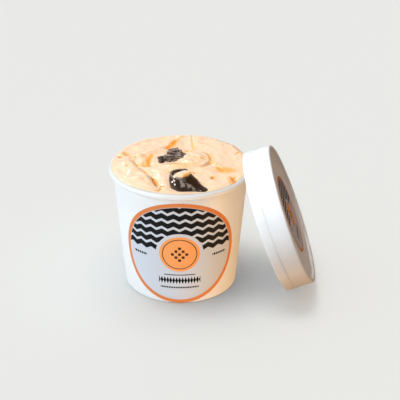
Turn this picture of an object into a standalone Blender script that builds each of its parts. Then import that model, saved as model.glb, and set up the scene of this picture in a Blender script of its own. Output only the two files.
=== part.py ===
"""A paper cup of gelato with two lumps of rolled chocolate wafer in it, and the cup's own lid
leaning on its rolled rim.

Metres, +Z up. The cup stands on its foot ring. The origin is at the bottom centre of the whole set.
"""
import math

import bmesh
import bpy
from mathutils import Matrix, Vector, noise

MM = 0.001
TURN_STEPS = 56                     # facets round every turned piece
GAP = 0.3 * MM                      # air left between pieces that touch
SOCKET_GAP = 0.45 * MM              # air round a lump that sits in the gelato

# Paper cup: a cone of card with a rolled rim and a hem folded up inside the foot
CUP_HEIGHT = 62.1 * MM
RIM_RADIUS = 35.0 * MM              # outside of the rolled rim
BEAD_RADIUS = 1.4 * MM
BEAD_STEPS = 9
SHOULDER_RADIUS = 33.0 * MM         # outside of the wall just under the bead
FOOT_RADIUS = 28.0 * MM
FOOT_ROUND = 0.8 * MM
CARD = 0.6 * MM
HEM_HEIGHT = 4.2 * MM
BASE_LEVEL = 4.6 * MM               # underside of the bottom disc
BASE_SKIRT_END = 1.2 * MM

# Round paper label wrapped on the wall, on the side that faces -Y
LABEL_HALF_WIDTH = 29.4 * MM
LABEL_HALF_HEIGHT = 28.5 * MM
LABEL_SLANT = 28.9 * MM             # its centre, measured up the wall from the foot
LABEL_THICK = 0.2 * MM
LABEL_GAP = 0.3 * MM
LABEL_RINGS = 6
LABEL_STEPS = 40

# Lid, in its own frame: open edge at 0, face up
LID_RADIUS = 35.7 * MM
LID_HEIGHT = 14.0 * MM
LID_WALL = 0.6 * MM
LID_BAND = 4.8 * MM                 # wider gripping band along the open edge
LID_STEP = 0.2 * MM
LID_RIM = 1.2 * MM                  # flat top of the raised rim
LID_ROUND = 0.9 * MM
LID_RECESS = 1.4 * MM
LID_LABEL_RADIUS = 19.6 * MM
LID_LEAN = math.radians(21.2)       # how far its axis points above the horizontal
LID_TURN = math.radians(-2.0)       # where its axis points, round from +X
LID_SHIFT = -2.8 * MM               # sideways from the line that would centre it on the cup
LID_CONTACT_GAP = 1.0 * MM

# Gelato, filled over the brim and smeared over the back of the rim; forms are (x, y) from the
# cup's axis, half sizes and rise, in millimetres
LAP_FRONT = math.radians(62)        # how far round the bead it reaches, from the bead's inside
LAP_BACK = math.radians(115)
LIP_FRONT = 0.3 * MM                # thickness of its edge
LIP_BACK = 0.7 * MM
GELATO_RINGS = 17
CROWN = 0.5 * MM
FURROW_START = Vector((-24.5, 7.5)) * MM
FURROW_END = Vector((-9.0, -28.5)) * MM
FURROW_DEPTH = 1.3 * MM
FURROW_WIDTH = 2.2 * MM
LOBE_RISE = 1.8 * MM                # the smooth lobe between the furrow and the rim
SHELL_CENTRE = Vector((7.0, 4.0)) * MM
SHELL_RADIUS = 8.6 * MM
SHELL_RISE = 1.5 * MM
SWIPE_SPLIT = 5.4 * MM              # step between the two spatula swipes at the back
SWIPE_FRONT = 13.0 * MM
SWIPE_RISE = 1.6 * MM
SWIPE_STEP = 0.8 * MM
MOUND = dict(at=(-17.0, 14.0), size=(6.5, 5.0), rise=1.8)
SADDLE = dict(at=(0.5, -2.0), size=(7.0, 6.0), rise=0.6)
CHEEK = dict(at=(-7.5, -19.0), size=(3.2, 7.0), rise=0.9)
HOLLOW = dict(at=(-16.0, 4.5), size=(4.0, 4.5), rise=-0.6)
SLAB_DIP = dict(at=(-4.5, 7.5), size=(9.0, 5.0), rise=-0.7)
PIT_SHELL = dict(at=(11.0, 4.0), size=(1.8, 1.8), rise=-0.9)
PIT_FRONT = dict(at=(15.7, -14.4), size=(1.8, 1.8), rise=-1.2)
SMEAR = dict(at=(21.0, -6.0), size=(5.0, 3.0), rise=-0.6)
DRIP = dict(at=(26.0, -18.0), size=(1.8, 4.0), rise=-0.8)
TAIL_SEAT = dict(at=(10.5, -25.0), size=(3.6, 5.0), rise=-0.6)

# Front lump: a stub of rolled wafer dipped in chocolate, leaning, open at its top
STUB_AT = Vector((2.4, -24.0)) * MM
STUB_FOOT_RADIUS = 7.1 * MM
STUB_TOP_RADIUS = 5.3 * MM
STUB_TOP_LEVEL = 6.0 * MM           # above the brim
STUB_SUNK = 2.4 * MM                # below the brim
STUB_LEAN = Vector((-2.2, 0.8)) * MM
STUB_TAIL = 6.0 * MM
STUB_TAIL_ANGLE = math.radians(-27)
TAIL_FOOT = 0.31                    # part of the stub's height where its tail starts, just over the brim
STUB_STEPS = 28

# Back lump: a flat broken piece with a small round nub
SLAB_AT = Vector((-4.3, 8.2)) * MM
SLAB_HALF = Vector((6.4, 4.0)) * MM
SLAB_TOP_LEVEL = 3.2 * MM
SLAB_SUNK = 0.8 * MM
SLAB_NUB_ANGLE = math.radians(222)
SLAB_STEPS = 28

BRIM = CUP_HEIGHT
BEAD_CENTRE = RIM_RADIUS - BEAD_RADIUS
BEAD_LEVEL = CUP_HEIGHT - BEAD_RADIUS
WALL_TOP = CUP_HEIGHT - 2 * BEAD_RADIUS
GELATO_FLOOR = BASE_LEVEL + CARD + GAP


def clear_scene():
    for old in list(bpy.data.objects):
        bpy.data.objects.remove(old, do_unlink=True)


def material(name, colour, roughness, metallic=0.0):
    made = bpy.data.materials.new(name)
    made.use_nodes = True
    shader = made.node_tree.nodes["Principled BSDF"]
    shader.inputs["Base Color"].default_value = (*colour, 1.0)
    shader.inputs["Roughness"].default_value = roughness
    shader.inputs["Metallic"].default_value = metallic
    return made


def finish(mesh_builder, name, surface_material, crease=35):
    """Turn a bmesh into a named object with outward faces and smooth shading."""
    bmesh.ops.remove_doubles(mesh_builder, verts=mesh_builder.verts, dist=1e-7)
    bmesh.ops.recalc_face_normals(mesh_builder, faces=mesh_builder.faces)
    mesh = bpy.data.meshes.new(name)
    mesh_builder.to_mesh(mesh)
    mesh_builder.free()
    mesh.shade_smooth()
    mesh.set_sharp_from_angle(angle=math.radians(crease))
    mesh.materials.append(surface_material)
    piece = bpy.data.objects.new(name, mesh)
    bpy.context.collection.objects.link(piece)
    return piece


def turned(name, profile, surface_material, closed=True):
    """Spin a profile of (radius, height) points round Z."""
    builder = bmesh.new()
    points = [builder.verts.new((radius, 0.0, height)) for radius, height in profile]
    pairs = list(zip(points, points[1:]))
    if closed:
        pairs.append((points[-1], points[0]))
    edges = [builder.edges.new(pair) for pair in pairs]
    bmesh.ops.spin(builder, geom=points + edges, cent=(0, 0, 0), axis=(0, 0, 1), angle=math.tau,
                   steps=TURN_STEPS, use_merge=True)
    return finish(builder, name, surface_material)


def loft(name, rings, surface_material, crease=35):
    """Skin a stack of rings of equal count, with a point at each end as its cap's centre."""
    builder = bmesh.new()
    loops = [[builder.verts.new(point) for point in ring] for ring in rings]
    count = len(loops[0])
    for low, high in zip(loops, loops[1:]):
        for here in range(count):
            after = (here + 1) % count
            builder.faces.new((low[here], low[after], high[after], high[here]))
    for loop in (loops[0], loops[-1]):
        centre = sum((corner.co for corner in loop), Vector()) / count
        hub = builder.verts.new(centre)
        for here in range(count):
            builder.faces.new((loop[here], loop[(here + 1) % count], hub))
    return finish(builder, name, surface_material, crease)


def smooth_step(low, high, value):
    part = min(1.0, max(0.0, (value - low) / (high - low)))
    return part * part * (3.0 - 2.0 * part)


def wall_radius(height):
    """Outside of the cup's wall at a height above the floor."""
    return FOOT_RADIUS + (SHOULDER_RADIUS - FOOT_RADIUS) * height / WALL_TOP


def arc(centre, radius, start, end, steps):
    """Points round a circle in the profile plane, both ends included."""
    turns = [start + (end - start) * step / steps for step in range(steps + 1)]
    return [(centre[0] + radius * math.cos(turn), centre[1] + radius * math.sin(turn)) for turn in turns]


def make_cup_wall(paper):
    def inside(height):
        return wall_radius(height) - CARD
    slot = CARD + 2 * GAP                       # room for the bottom disc's skirt inside the hem
    hem_inner = inside(HEM_HEIGHT) - slot - CARD
    profile = [(hem_inner, 0.0), (FOOT_RADIUS - FOOT_ROUND, 0.0)]
    profile += [(FOOT_RADIUS - 0.25 * FOOT_ROUND, 0.3 * FOOT_ROUND), (wall_radius(FOOT_ROUND), FOOT_ROUND)]
    profile += [(wall_radius(WALL_TOP), WALL_TOP)]
    profile += arc((BEAD_CENTRE, BEAD_LEVEL), BEAD_RADIUS, math.radians(-70), math.radians(205), BEAD_STEPS)
    profile += [(inside(WALL_TOP), WALL_TOP), (inside(HEM_HEIGHT), HEM_HEIGHT), (inside(CARD), CARD)]
    profile += [(inside(CARD) - slot, CARD), (inside(HEM_HEIGHT) - slot, HEM_HEIGHT)]
    profile += [(hem_inner, HEM_HEIGHT)]
    return turned("cup_wall", profile, paper)


def make_cup_base(paper):
    edge = wall_radius(BASE_LEVEL) - CARD - GAP
    low = wall_radius(BASE_SKIRT_END) - CARD - GAP
    top = BASE_LEVEL + CARD
    profile = [(0.0, top), (edge, top), (low, BASE_SKIRT_END), (low - CARD, BASE_SKIRT_END)]
    profile += [(edge - CARD, BASE_LEVEL), (0.0, BASE_LEVEL)]
    return turned("cup_base", profile, paper, closed=False)


def label_point(part, turn, lift):
    """A point of the wrapped label: part of the way to its edge, turn round it, lift off the wall."""
    slant = LABEL_SLANT + part * LABEL_HALF_HEIGHT * math.sin(turn)
    slope = math.hypot(WALL_TOP, SHOULDER_RADIUS - FOOT_RADIUS) / WALL_TOP
    height = slant / slope
    radius = wall_radius(height)
    azimuth = part * LABEL_HALF_WIDTH * math.cos(turn) / radius
    radius += lift
    return Vector((radius * math.sin(azimuth), -radius * math.cos(azimuth), height))


def make_cup_label(print_paper):
    parts = [ring / LABEL_RINGS for ring in range(1, LABEL_RINGS + 1)]
    turns = [math.tau * step / LABEL_STEPS for step in range(LABEL_STEPS)]
    back = [[label_point(part, turn, LABEL_GAP) for turn in turns] for part in parts]
    front = [[label_point(part, turn, LABEL_GAP + LABEL_THICK) for turn in turns] for part in parts]
    return loft("cup_label", back + front[::-1], print_paper)


def bead_point(lap, azimuth):
    """A point beside the bead's surface, a gap away from it, lap measured from the bead's inside."""
    reach = BEAD_RADIUS + GAP
    radius = BEAD_CENTRE - reach * math.cos(lap)
    height = BEAD_LEVEL + reach * math.sin(lap)
    return Vector((radius * math.cos(azimuth), radius * math.sin(azimuth), height))


def bump(form, x, y):
    """A round swell, or a pit where its rise is negative."""
    across = (x / MM - form["at"][0]) / form["size"][0]
    along = (y / MM - form["at"][1]) / form["size"][1]
    return form["rise"] * MM * math.exp(-(across * across + along * along))


def furrow_place(x, y):
    """Distance left of the furrow's line, and how far along it, from 0 to 1."""
    line = FURROW_END - FURROW_START
    length = line.length
    line = line / length
    offset = Vector((x, y)) - FURROW_START
    return line.x * -offset.y + line.y * offset.x, offset.dot(line) / length


def gelato_rise(x, y):
    """Height of the gelato's top above the brim, from its strokes of the spatula."""
    reach = math.hypot(x, y) / RIM_RADIUS
    rise = CROWN * (1.0 - reach * reach)
    left, along = furrow_place(x, y)
    lobe = smooth_step(-0.3 * MM, 2.4 * MM, left) * smooth_step(-0.25, 0.1, along)
    rise += LOBE_RISE * lobe * (1.0 - 0.7 * smooth_step(24.0 * MM, 33.0 * MM, math.hypot(x, y)))
    in_furrow = smooth_step(-0.05, 0.1, along) * (1.0 - smooth_step(0.92, 1.05, along))
    rise -= FURROW_DEPTH * in_furrow * math.exp(-((left / FURROW_WIDTH) ** 2))
    from_shell = (Vector((x, y)) - SHELL_CENTRE).length
    facing = smooth_step(-9.0 * MM, 4.0 * MM, x - SHELL_CENTRE.x + 0.6 * (y - SHELL_CENTRE.y))
    edge = smooth_step(SHELL_RADIUS - 1.4 * MM, SHELL_RADIUS + 0.4 * MM, from_shell)
    rise += SHELL_RISE * facing * (1.0 - edge)
    left_swipe = smooth_step(-7.0 * MM, -3.5 * MM, x)
    rise += SWIPE_RISE * left_swipe * smooth_step(SWIPE_FRONT - 2.0 * MM, RIM_RADIUS, y)
    stepped = smooth_step(SWIPE_SPLIT - 0.6 * MM, SWIPE_SPLIT + 0.6 * MM, x)
    rise -= SWIPE_STEP * stepped * smooth_step(SWIPE_FRONT, SWIPE_FRONT + 2.0 * MM, y)
    for form in (MOUND, SADDLE, CHEEK, HOLLOW, SLAB_DIP, PIT_SHELL, PIT_FRONT, SMEAR, DRIP, TAIL_SEAT):
        rise += bump(form, x, y)
    return rise + 0.2 * MM * noise.noise(Vector((x, y, 0.0)) / (6.0 * MM))


def make_gelato(cream):
    azimuths = [math.tau * step / TURN_STEPS for step in range(TURN_STEPS)]

    def wall_ring(height, part=1.0):
        radius = (wall_radius(height) - CARD - GAP) * part
        return [Vector((radius * math.cos(turn), radius * math.sin(turn), height)) for turn in azimuths]

    def toward_back(turn):
        """1 where the gelato is smeared over the rim, at the back and left, and 0 at the front."""
        return smooth_step(-0.35, 0.75, math.sin(turn) - 0.45 * math.cos(turn))

    def lap_ring(part):
        ends = [LAP_FRONT + (LAP_BACK - LAP_FRONT) * toward_back(turn) for turn in azimuths]
        return [bead_point(end * part, turn) for end, turn in zip(ends, azimuths)]

    rings = [wall_ring(GELATO_FLOOR, 0.5), wall_ring(GELATO_FLOOR), wall_ring(WALL_TOP - 0.4 * MM)]
    rings += [lap_ring(part) for part in (0.0, 0.35, 0.7, 1.0)]
    lips = [LIP_FRONT + (LIP_BACK - LIP_FRONT) * toward_back(turn) for turn in azimuths]
    for ring in range(GELATO_RINGS):
        part = math.cos(0.5 * math.pi * (ring + 0.3) / GELATO_RINGS) ** 0.8
        settled = smooth_step(1.0, 0.9, part)
        points = []
        for edge, lip in zip(lap_ring(1.0), lips):
            x = edge.x * part
            y = edge.y * part
            level = (edge.z + lip) * (1.0 - settled) + (BRIM + gelato_rise(x, y)) * settled
            points.append(Vector((x, y, level)))
        rings.append(points)
    return loft("gelato", rings, cream, crease=60)


def make_stub(chocolate):
    """The rolled stub: a leaning, flared drum with a tail of broken shell and a hollow in its top."""
    turns = [math.tau * step / STUB_STEPS for step in range(STUB_STEPS)]

    def ring(part, scale):
        centre = STUB_AT + STUB_LEAN * part
        radius = (STUB_FOOT_RADIUS + (STUB_TOP_RADIUS - STUB_FOOT_RADIUS) * part) * scale
        height = BRIM - STUB_SUNK + (STUB_TOP_LEVEL + STUB_SUNK) * part
        points = []
        for turn in turns:
            away = max(0.0, math.cos(turn - STUB_TAIL_ANGLE))
            tail = STUB_TAIL * away ** 5 * smooth_step(TAIL_FOOT, TAIL_FOOT + 0.08, part) * (
                1.0 - smooth_step(TAIL_FOOT, 0.8, part))
            reach = radius * (1.0 + 0.04 * math.sin(3 * turn + 4.0 * part)) + tail
            points.append(Vector((centre.x + reach * math.cos(turn), centre.y + reach * math.sin(turn), height)))
        return points

    rings = [ring(0.0, 0.55), ring(0.04, 0.88)]
    rings += [ring(part, 1.0) for part in (0.14, TAIL_FOOT, 0.4, 0.52, 0.64, 0.78, 0.9)]
    rings += [ring(0.96, 0.94), ring(1.0, 0.84), ring(0.97, 0.72), ring(0.86, 0.62), ring(0.84, 0.3)]
    return loft("chocolate_front", rings, chocolate, crease=50)


def make_slab(chocolate):
    """The broken slab: a low lump with an uneven outline, higher at its right and back."""
    turns = [math.tau * step / SLAB_STEPS for step in range(SLAB_STEPS)]

    def ring(part, scale):
        points = []
        for turn in turns:
            lobes = 1.0 + 0.08 * math.cos(3 * turn + 0.6) + 0.05 * math.cos(5 * turn)
            nub = 1.0 + 0.45 * max(0.0, math.cos(turn - SLAB_NUB_ANGLE)) ** 8
            x = SLAB_HALF.x * scale * lobes * nub * math.cos(turn)
            y = SLAB_HALF.y * scale * lobes * nub * math.sin(turn) + 0.08 * x
            ridge = 1.0 - 0.35 * smooth_step(1.0 * MM, -6.0 * MM, x)
            height = BRIM - SLAB_SUNK + (SLAB_TOP_LEVEL + SLAB_SUNK) * part * ridge
            points.append(Vector((SLAB_AT.x + x, SLAB_AT.y + y, height)))
        return points

    rings = [ring(0.0, 0.7), ring(0.1, 0.95), ring(0.45, 1.0), ring(0.75, 0.96), ring(0.93, 0.8), ring(1.0, 0.5)]
    return loft("chocolate_back", rings, chocolate, crease=50)


def cut_socket(body, lump):
    """Cut room for a lump that sits in the gelato, wider than the lump all over."""
    cutter_mesh = lump.data.copy()
    cutter = bpy.data.objects.new(f"{lump.name}_socket", cutter_mesh)
    bpy.context.collection.objects.link(cutter)
    normals = [corner.normal.copy() for corner in cutter_mesh.vertices]
    for corner, normal in zip(cutter_mesh.vertices, normals):
        corner.co += normal * SOCKET_GAP
    cutter.hide_render = True
    cutter.display_type = "WIRE"
    cut = body.modifiers.new(cutter.name, "BOOLEAN")
    cut.operation = "DIFFERENCE"
    cut.solver = "EXACT"
    cut.object = cutter
    return cutter


def make_lid(plastic):
    outer = LID_RADIUS
    body = LID_RADIUS - LID_STEP
    face = LID_HEIGHT - LID_RECESS
    profile = [(outer, 0.0), (outer, LID_BAND - LID_STEP), (body, LID_BAND + LID_STEP)]
    profile += arc((body - LID_ROUND, LID_HEIGHT - LID_ROUND), LID_ROUND, 0.0, math.radians(90), 3)
    recess = body - LID_ROUND - LID_RIM
    profile += [(recess + 0.2 * MM, LID_HEIGHT), (recess, LID_HEIGHT - 0.3 * MM), (recess - 0.2 * MM, face)]
    profile += [(0.0, face), (0.0, face - LID_WALL), (body - LID_WALL, face - LID_WALL)]
    profile += [(body - LID_WALL, LID_BAND + LID_STEP), (outer - LID_WALL, LID_BAND - LID_STEP)]
    profile += [(outer - LID_WALL, 0.0)]
    return turned("lid", profile, plastic)


def make_lid_label(print_paper):
    low = LID_HEIGHT - LID_RECESS + LABEL_GAP
    high = low + LABEL_THICK
    profile = [(0.0, high), (LID_LABEL_RADIUS, high), (LID_LABEL_RADIUS, low), (0.0, low)]
    return turned("lid_label", profile, print_paper, closed=False)


def lid_place():
    """Where the lid leans: its lowest edge on the floor, its open edge against the bead on one side."""
    centre_level = LID_RADIUS * math.cos(LID_LEAN)
    rise = (BEAD_LEVEL - centre_level) / math.cos(LID_LEAN)
    half_chord = math.sqrt((LID_RADIUS - LID_WALL) ** 2 - rise ** 2)
    touching = half_chord - abs(LID_SHIFT)
    reach = math.sqrt((RIM_RADIUS + LID_CONTACT_GAP) ** 2 - touching ** 2)
    distance = reach + rise * math.sin(LID_LEAN)
    out = Vector((math.cos(LID_TURN), math.sin(LID_TURN), 0.0))
    side = Vector((-math.sin(LID_TURN), math.cos(LID_TURN), 0.0))
    up = Vector((0.0, 0.0, 1.0))
    axis = out * math.cos(LID_LEAN) + up * math.sin(LID_LEAN)
    down = out * math.sin(LID_LEAN) - up * math.cos(LID_LEAN)
    centre = out * distance + side * LID_SHIFT + up * centre_level
    turn = Matrix((down, axis.cross(down), axis)).transposed().to_4x4()
    return Matrix.Translation(centre) @ turn


def centre_on_floor(frame, pieces):
    """Slide the whole set so that the middle of its outline is over the origin."""
    bpy.context.view_layer.update()
    corners = [piece.matrix_world @ vertex.co for piece in pieces for vertex in piece.data.vertices]
    for axis in (0, 1):
        values = [corner[axis] for corner in corners]
        frame.location[axis] -= 0.5 * (min(values) + max(values))
    bpy.context.view_layer.update()


def build():
    clear_scene()
    paper = material("white_card", (0.86, 0.89, 0.92), 0.45)
    base_paper = material("base_card", (0.84, 0.86, 0.88), 0.5)
    print_paper = material("label_print", (0.86, 0.45, 0.22), 0.5)
    lid_print = material("lid_label_print", (0.80, 0.36, 0.16), 0.5)
    cream = material("gelato_cream", (0.98, 0.80, 0.60), 0.3)
    dark = material("stub_chocolate", (0.035, 0.018, 0.012), 0.2)
    broken = material("slab_chocolate", (0.045, 0.025, 0.018), 0.3)
    plastic = material("lid_plastic", (0.93, 0.95, 0.96), 0.35)

    set_frame = bpy.data.objects.new("set_frame", None)
    bpy.context.collection.objects.link(set_frame)
    wall = make_cup_wall(paper)
    base = make_cup_base(base_paper)
    cup_label = make_cup_label(print_paper)
    gelato = make_gelato(cream)
    stub = make_stub(dark)
    slab = make_slab(broken)
    sockets = [cut_socket(gelato, stub), cut_socket(gelato, slab)]
    lid = make_lid(plastic)
    lid_label = make_lid_label(lid_print)
    lid.matrix_world = lid_place()
    lid_label.parent = lid
    pieces = [wall, base, cup_label, gelato, stub, slab, lid, lid_label]
    for piece in pieces + sockets:
        if piece.parent is None:
            piece.parent = set_frame
    centre_on_floor(set_frame, pieces)


build()
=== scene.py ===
# %% [markdown]
# # A cup of gelato, its lid leaning on the rim
# The set is a small white paper cup with a round printed label, soft gelato pushed over its brim with
# a spatula, two lumps of chocolate wafer in it, and the cup's own lid. The solids that carry size and
# collision are loaded first as a fixed frame. Everything after that is looks, built round that frame.

# %% Load the frame
import math
import bmesh
import bpy
import numpy as np
from mathutils import Matrix, Vector, noise


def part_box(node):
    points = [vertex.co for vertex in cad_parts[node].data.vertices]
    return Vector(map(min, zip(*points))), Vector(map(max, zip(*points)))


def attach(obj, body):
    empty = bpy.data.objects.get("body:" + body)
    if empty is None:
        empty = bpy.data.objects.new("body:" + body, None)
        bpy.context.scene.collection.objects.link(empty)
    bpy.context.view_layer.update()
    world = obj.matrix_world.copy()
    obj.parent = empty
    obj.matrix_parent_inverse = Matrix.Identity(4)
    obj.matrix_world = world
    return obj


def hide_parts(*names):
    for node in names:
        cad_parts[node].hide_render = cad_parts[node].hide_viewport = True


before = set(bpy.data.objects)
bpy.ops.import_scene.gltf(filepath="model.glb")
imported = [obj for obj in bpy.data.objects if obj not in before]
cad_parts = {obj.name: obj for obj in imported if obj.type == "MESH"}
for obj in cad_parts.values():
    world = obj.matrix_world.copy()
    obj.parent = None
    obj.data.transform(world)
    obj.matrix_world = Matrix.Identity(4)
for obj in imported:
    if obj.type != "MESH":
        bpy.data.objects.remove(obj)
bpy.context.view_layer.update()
MM = 0.001
print("nodes:", sorted(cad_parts))

# %% [markdown]
# ## Where things are
# The cup is round, so the middle of its node's box is its axis, and half the box's width is the
# radius of its rim. All places on the cup and in the gelato are measured from that axis.

# %% Read the cup's place from the frame
wall_low, wall_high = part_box("cup_wall")
CUP_X = 0.5 * (wall_low.x + wall_high.x)
CUP_Y = 0.5 * (wall_low.y + wall_high.y)
RIM_RADIUS = 0.5 * (wall_high.x - wall_low.x)
BRIM = wall_high.z
BEAD_RADIUS = 1.4 * MM
BEAD_CENTRE = RIM_RADIUS - BEAD_RADIUS
BEAD_LEVEL = BRIM - BEAD_RADIUS
WALL_TOP = BRIM - 2 * BEAD_RADIUS
SHOULDER_RADIUS = RIM_RADIUS - 2.0 * MM
FOOT_RADIUS = 28.0 * MM
CARD = 0.5 * MM
print(f"cup axis at {CUP_X / MM:.1f}, {CUP_Y / MM:.1f} mm, rim radius {RIM_RADIUS / MM:.1f} mm, brim {BRIM / MM:.1f} mm")

# %% [markdown]
# ## The few hand moves that every piece needs
# Blender's operators work on whatever is selected, as they do for someone at the screen. So each
# piece starts with everything else deselected, and faces or edges are picked in code by where they
# are. A piece is finished by applying its place to its mesh, so its object stays at the origin.

# %% Helpers for operators
def alone(piece):
    """Select one piece and nothing else."""
    bpy.ops.object.select_all(action="DESELECT")
    piece.select_set(True)
    bpy.context.view_layer.objects.active = piece
    return piece


def added(name):
    """Name the primitive that was just added and leave it alone selected."""
    piece = bpy.context.object
    piece.name = name
    piece.data.name = name
    return alone(piece)


def edit(piece, kind="VERT"):
    """Go into edit mode with nothing selected."""
    alone(piece)
    bpy.ops.object.mode_set(mode="EDIT")
    bpy.ops.mesh.select_mode(type=kind)
    bpy.ops.mesh.select_all(action="DESELECT")


def pick(test, kind="verts"):
    """In edit mode, select the vertices, edges or faces whose middle passes a test."""
    builder = bmesh.from_edit_mesh(bpy.context.object.data)
    found = 0
    for part in getattr(builder, kind):
        if kind == "verts":
            middle = part.co
        else:
            middle = sum((corner.co for corner in part.verts), Vector()) / len(part.verts)
        if test(middle, part):
            part.select_set(True)
            found += 1
    bmesh.update_edit_mesh(bpy.context.object.data)
    return found


def open_edges(above=-1.0, below=1.0):
    """In edit mode, select the open edges whose middle lies between two heights."""
    return pick(lambda middle, part: part.is_boundary and above < middle.z < below, "edges")


def done():
    bpy.ops.object.mode_set(mode="OBJECT")


def apply_place(piece):
    """Put the object's place, turn and scale into its mesh."""
    alone(piece)
    bpy.ops.object.transform_apply(location=True, rotation=True, scale=True)


def apply_modifier(piece, kind, **settings):
    """Add a modifier, set it and apply it."""
    alone(piece)
    modifier = piece.modifiers.new(kind.title(), kind)
    for name, value in settings.items():
        setattr(modifier, name, value)
    bpy.ops.object.modifier_apply(modifier=modifier.name)


def face_outwards(piece):
    """Merge doubles and turn every face outwards."""
    edit(piece)
    bpy.ops.mesh.select_all(action="SELECT")
    bpy.ops.mesh.remove_doubles(threshold=1e-6)
    bpy.ops.mesh.normals_make_consistent(inside=False)
    done()


def smooth(piece, angle=40):
    alone(piece)
    bpy.ops.object.shade_smooth_by_angle(angle=math.radians(angle))


def run_loop(route):
    """Extrude the selected edge loop along a route of (radius, height) stops round the Z axis."""
    for (radius, height), (next_radius, next_height) in zip(route, route[1:]):
        rise = {"value": (0.0, 0.0, next_height - height)}
        bpy.ops.mesh.extrude_region_move(TRANSFORM_OT_translate=rise)
        scale = next_radius / radius
        bpy.ops.transform.resize(value=(scale, scale, 1.0), center_override=(0.0, 0.0, 0.0))


def arc(centre, radius, start, end, steps):
    """Stops round a circle in the (radius, height) plane, angles in degrees, both ends included."""
    turns = [math.radians(start + (end - start) * step / steps) for step in range(steps + 1)]
    return [(centre[0] + radius * math.cos(turn), centre[1] + radius * math.sin(turn)) for turn in turns]


def move_points(piece, rule):
    """Move every vertex by a rule that takes and returns an array of (x, y, z) rows."""
    places = np.empty(len(piece.data.vertices) * 3)
    piece.data.vertices.foreach_get("co", places)
    places = rule(places.reshape(-1, 3))
    piece.data.vertices.foreach_set("co", np.ascontiguousarray(places).ravel())
    piece.data.update()


def put_on_cup(piece):
    """Shift a piece that was made round the Z axis to the cup's axis."""
    piece.location = (CUP_X, CUP_Y, 0.0)
    apply_place(piece)


def keep(piece, slot, *nodes):
    """Hand a finished piece to the frame and print its size."""
    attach(piece, "root")
    if nodes:
        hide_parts(*nodes)
    size = piece.dimensions / MM
    print(f"{piece.name}: {size.x:.1f} x {size.y:.1f} x {size.z:.1f} mm, {len(piece.data.polygons)} faces")


# %% [markdown]
# ## Sums in shaders
# A material's variation is a formula: where the ring of a label starts, how far a furrow's shade
# reaches. Writing such a formula as nodes by hand is slow to read, so a small class wraps a socket
# and lets Python's own signs add the Math nodes. Colours go through Mix nodes instead.

# %% A class for shader sums
class Wire:
    """An output socket that Python's operators can do sums with."""

    def __init__(self, recipe, socket):
        self.recipe = recipe
        self.socket = socket

    def sum(self, operation, first, second):
        return self.recipe.node("ShaderNodeMath", {"operation": operation}, {0: first, 1: second})

    def __add__(self, other):
        return self.sum("ADD", self, other)

    def __radd__(self, other):
        return self.sum("ADD", other, self)

    def __sub__(self, other):
        return self.sum("SUBTRACT", self, other)

    def __rsub__(self, other):
        return self.sum("SUBTRACT", other, self)

    def __mul__(self, other):
        return self.sum("MULTIPLY", self, other)

    def __rmul__(self, other):
        return self.sum("MULTIPLY", other, self)

    def __truediv__(self, other):
        return self.sum("DIVIDE", self, other)

    def __rtruediv__(self, other):
        return self.sum("DIVIDE", other, self)

    def __pow__(self, other):
        return self.sum("POWER", self, other)

    def __gt__(self, other):
        return self.sum("GREATER_THAN", self, other)

    def __lt__(self, other):
        return self.sum("LESS_THAN", self, other)

    def __abs__(self):
        return self.sum("ABSOLUTE", self, 0.0)


class Recipe:
    """A material's node tree, with one method that adds any node."""

    def __init__(self, name):
        self.material = bpy.data.materials.new(name)
        self.material.use_nodes = True
        self.tree = self.material.node_tree
        self.shader = self.tree.nodes["Principled BSDF"]

    def plug(self, value, socket):
        if isinstance(value, Wire):
            self.tree.links.new(value.socket, socket)
        elif socket.type == "RGBA" and len(value) == 3:
            socket.default_value = (*value, 1.0)
        else:
            socket.default_value = value

    def node(self, kind, settings=None, inputs=None, output=0):
        """Add a node: its settings first, then the values or links of its sockets."""
        made = self.tree.nodes.new(kind)
        for name, value in (settings or {}).items():
            if name == "stops":
                while len(made.color_ramp.elements) < len(value):
                    made.color_ramp.elements.new(0.5)
                for element, (place, colour) in zip(made.color_ramp.elements, value):
                    element.position = place
                    element.color = (*colour, 1.0)
            else:
                setattr(made, name, value)
        for name, value in (inputs or {}).items():
            self.plug(value, made.inputs[name])
        return Wire(self, made.outputs[output])

    def constant(self, **values):
        """Set numbers that are the same all over on the shader's own sockets."""
        for name, value in values.items():
            self.plug(value, self.shader.inputs[name.replace("_", " ")])

    def feed(self, name, wire):
        self.plug(wire, self.shader.inputs[name])

    def mix(self, factor, first, second):
        return self.node("ShaderNodeMix", {"data_type": "RGBA"}, {0: factor, 6: first, 7: second}, output=2)

    def place(self):
        return self.node("ShaderNodeTexCoord", output=3)

    def noise(self, scale, detail=3.0, rough=0.5, place=None):
        inputs = {"Vector": place or self.place(), "Scale": scale, "Detail": detail, "Roughness": rough}
        return self.node("ShaderNodeTexNoise", None, inputs)

    def attribute(self, name):
        return self.node("ShaderNodeAttribute", {"attribute_name": name}, None, output=2)

    def step(self, low, high, value):
        """0 below low and 1 above high, with a smooth rise between."""
        settings = {"interpolation_type": "SMOOTHSTEP"}
        return self.node("ShaderNodeMapRange", settings, {"Value": value, "From Min": low, "From Max": high})

    def bump(self, height, distance, strength=1.0):
        inputs = {"Height": height, "Distance": distance, "Strength": strength}
        self.feed("Normal", self.node("ShaderNodeBump", None, inputs))


def paint(piece, recipe):
    piece.data.materials.clear()
    piece.data.materials.append(recipe.material)


# %% [markdown]
# ## Camera
# A long lens looks down on the cup from the front at about 27 degrees, from half a metre away, with
# the slight roll of a hand-held shot. The camera looks along +Y, so its three directions are written
# out and become the columns of its matrix.

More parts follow.
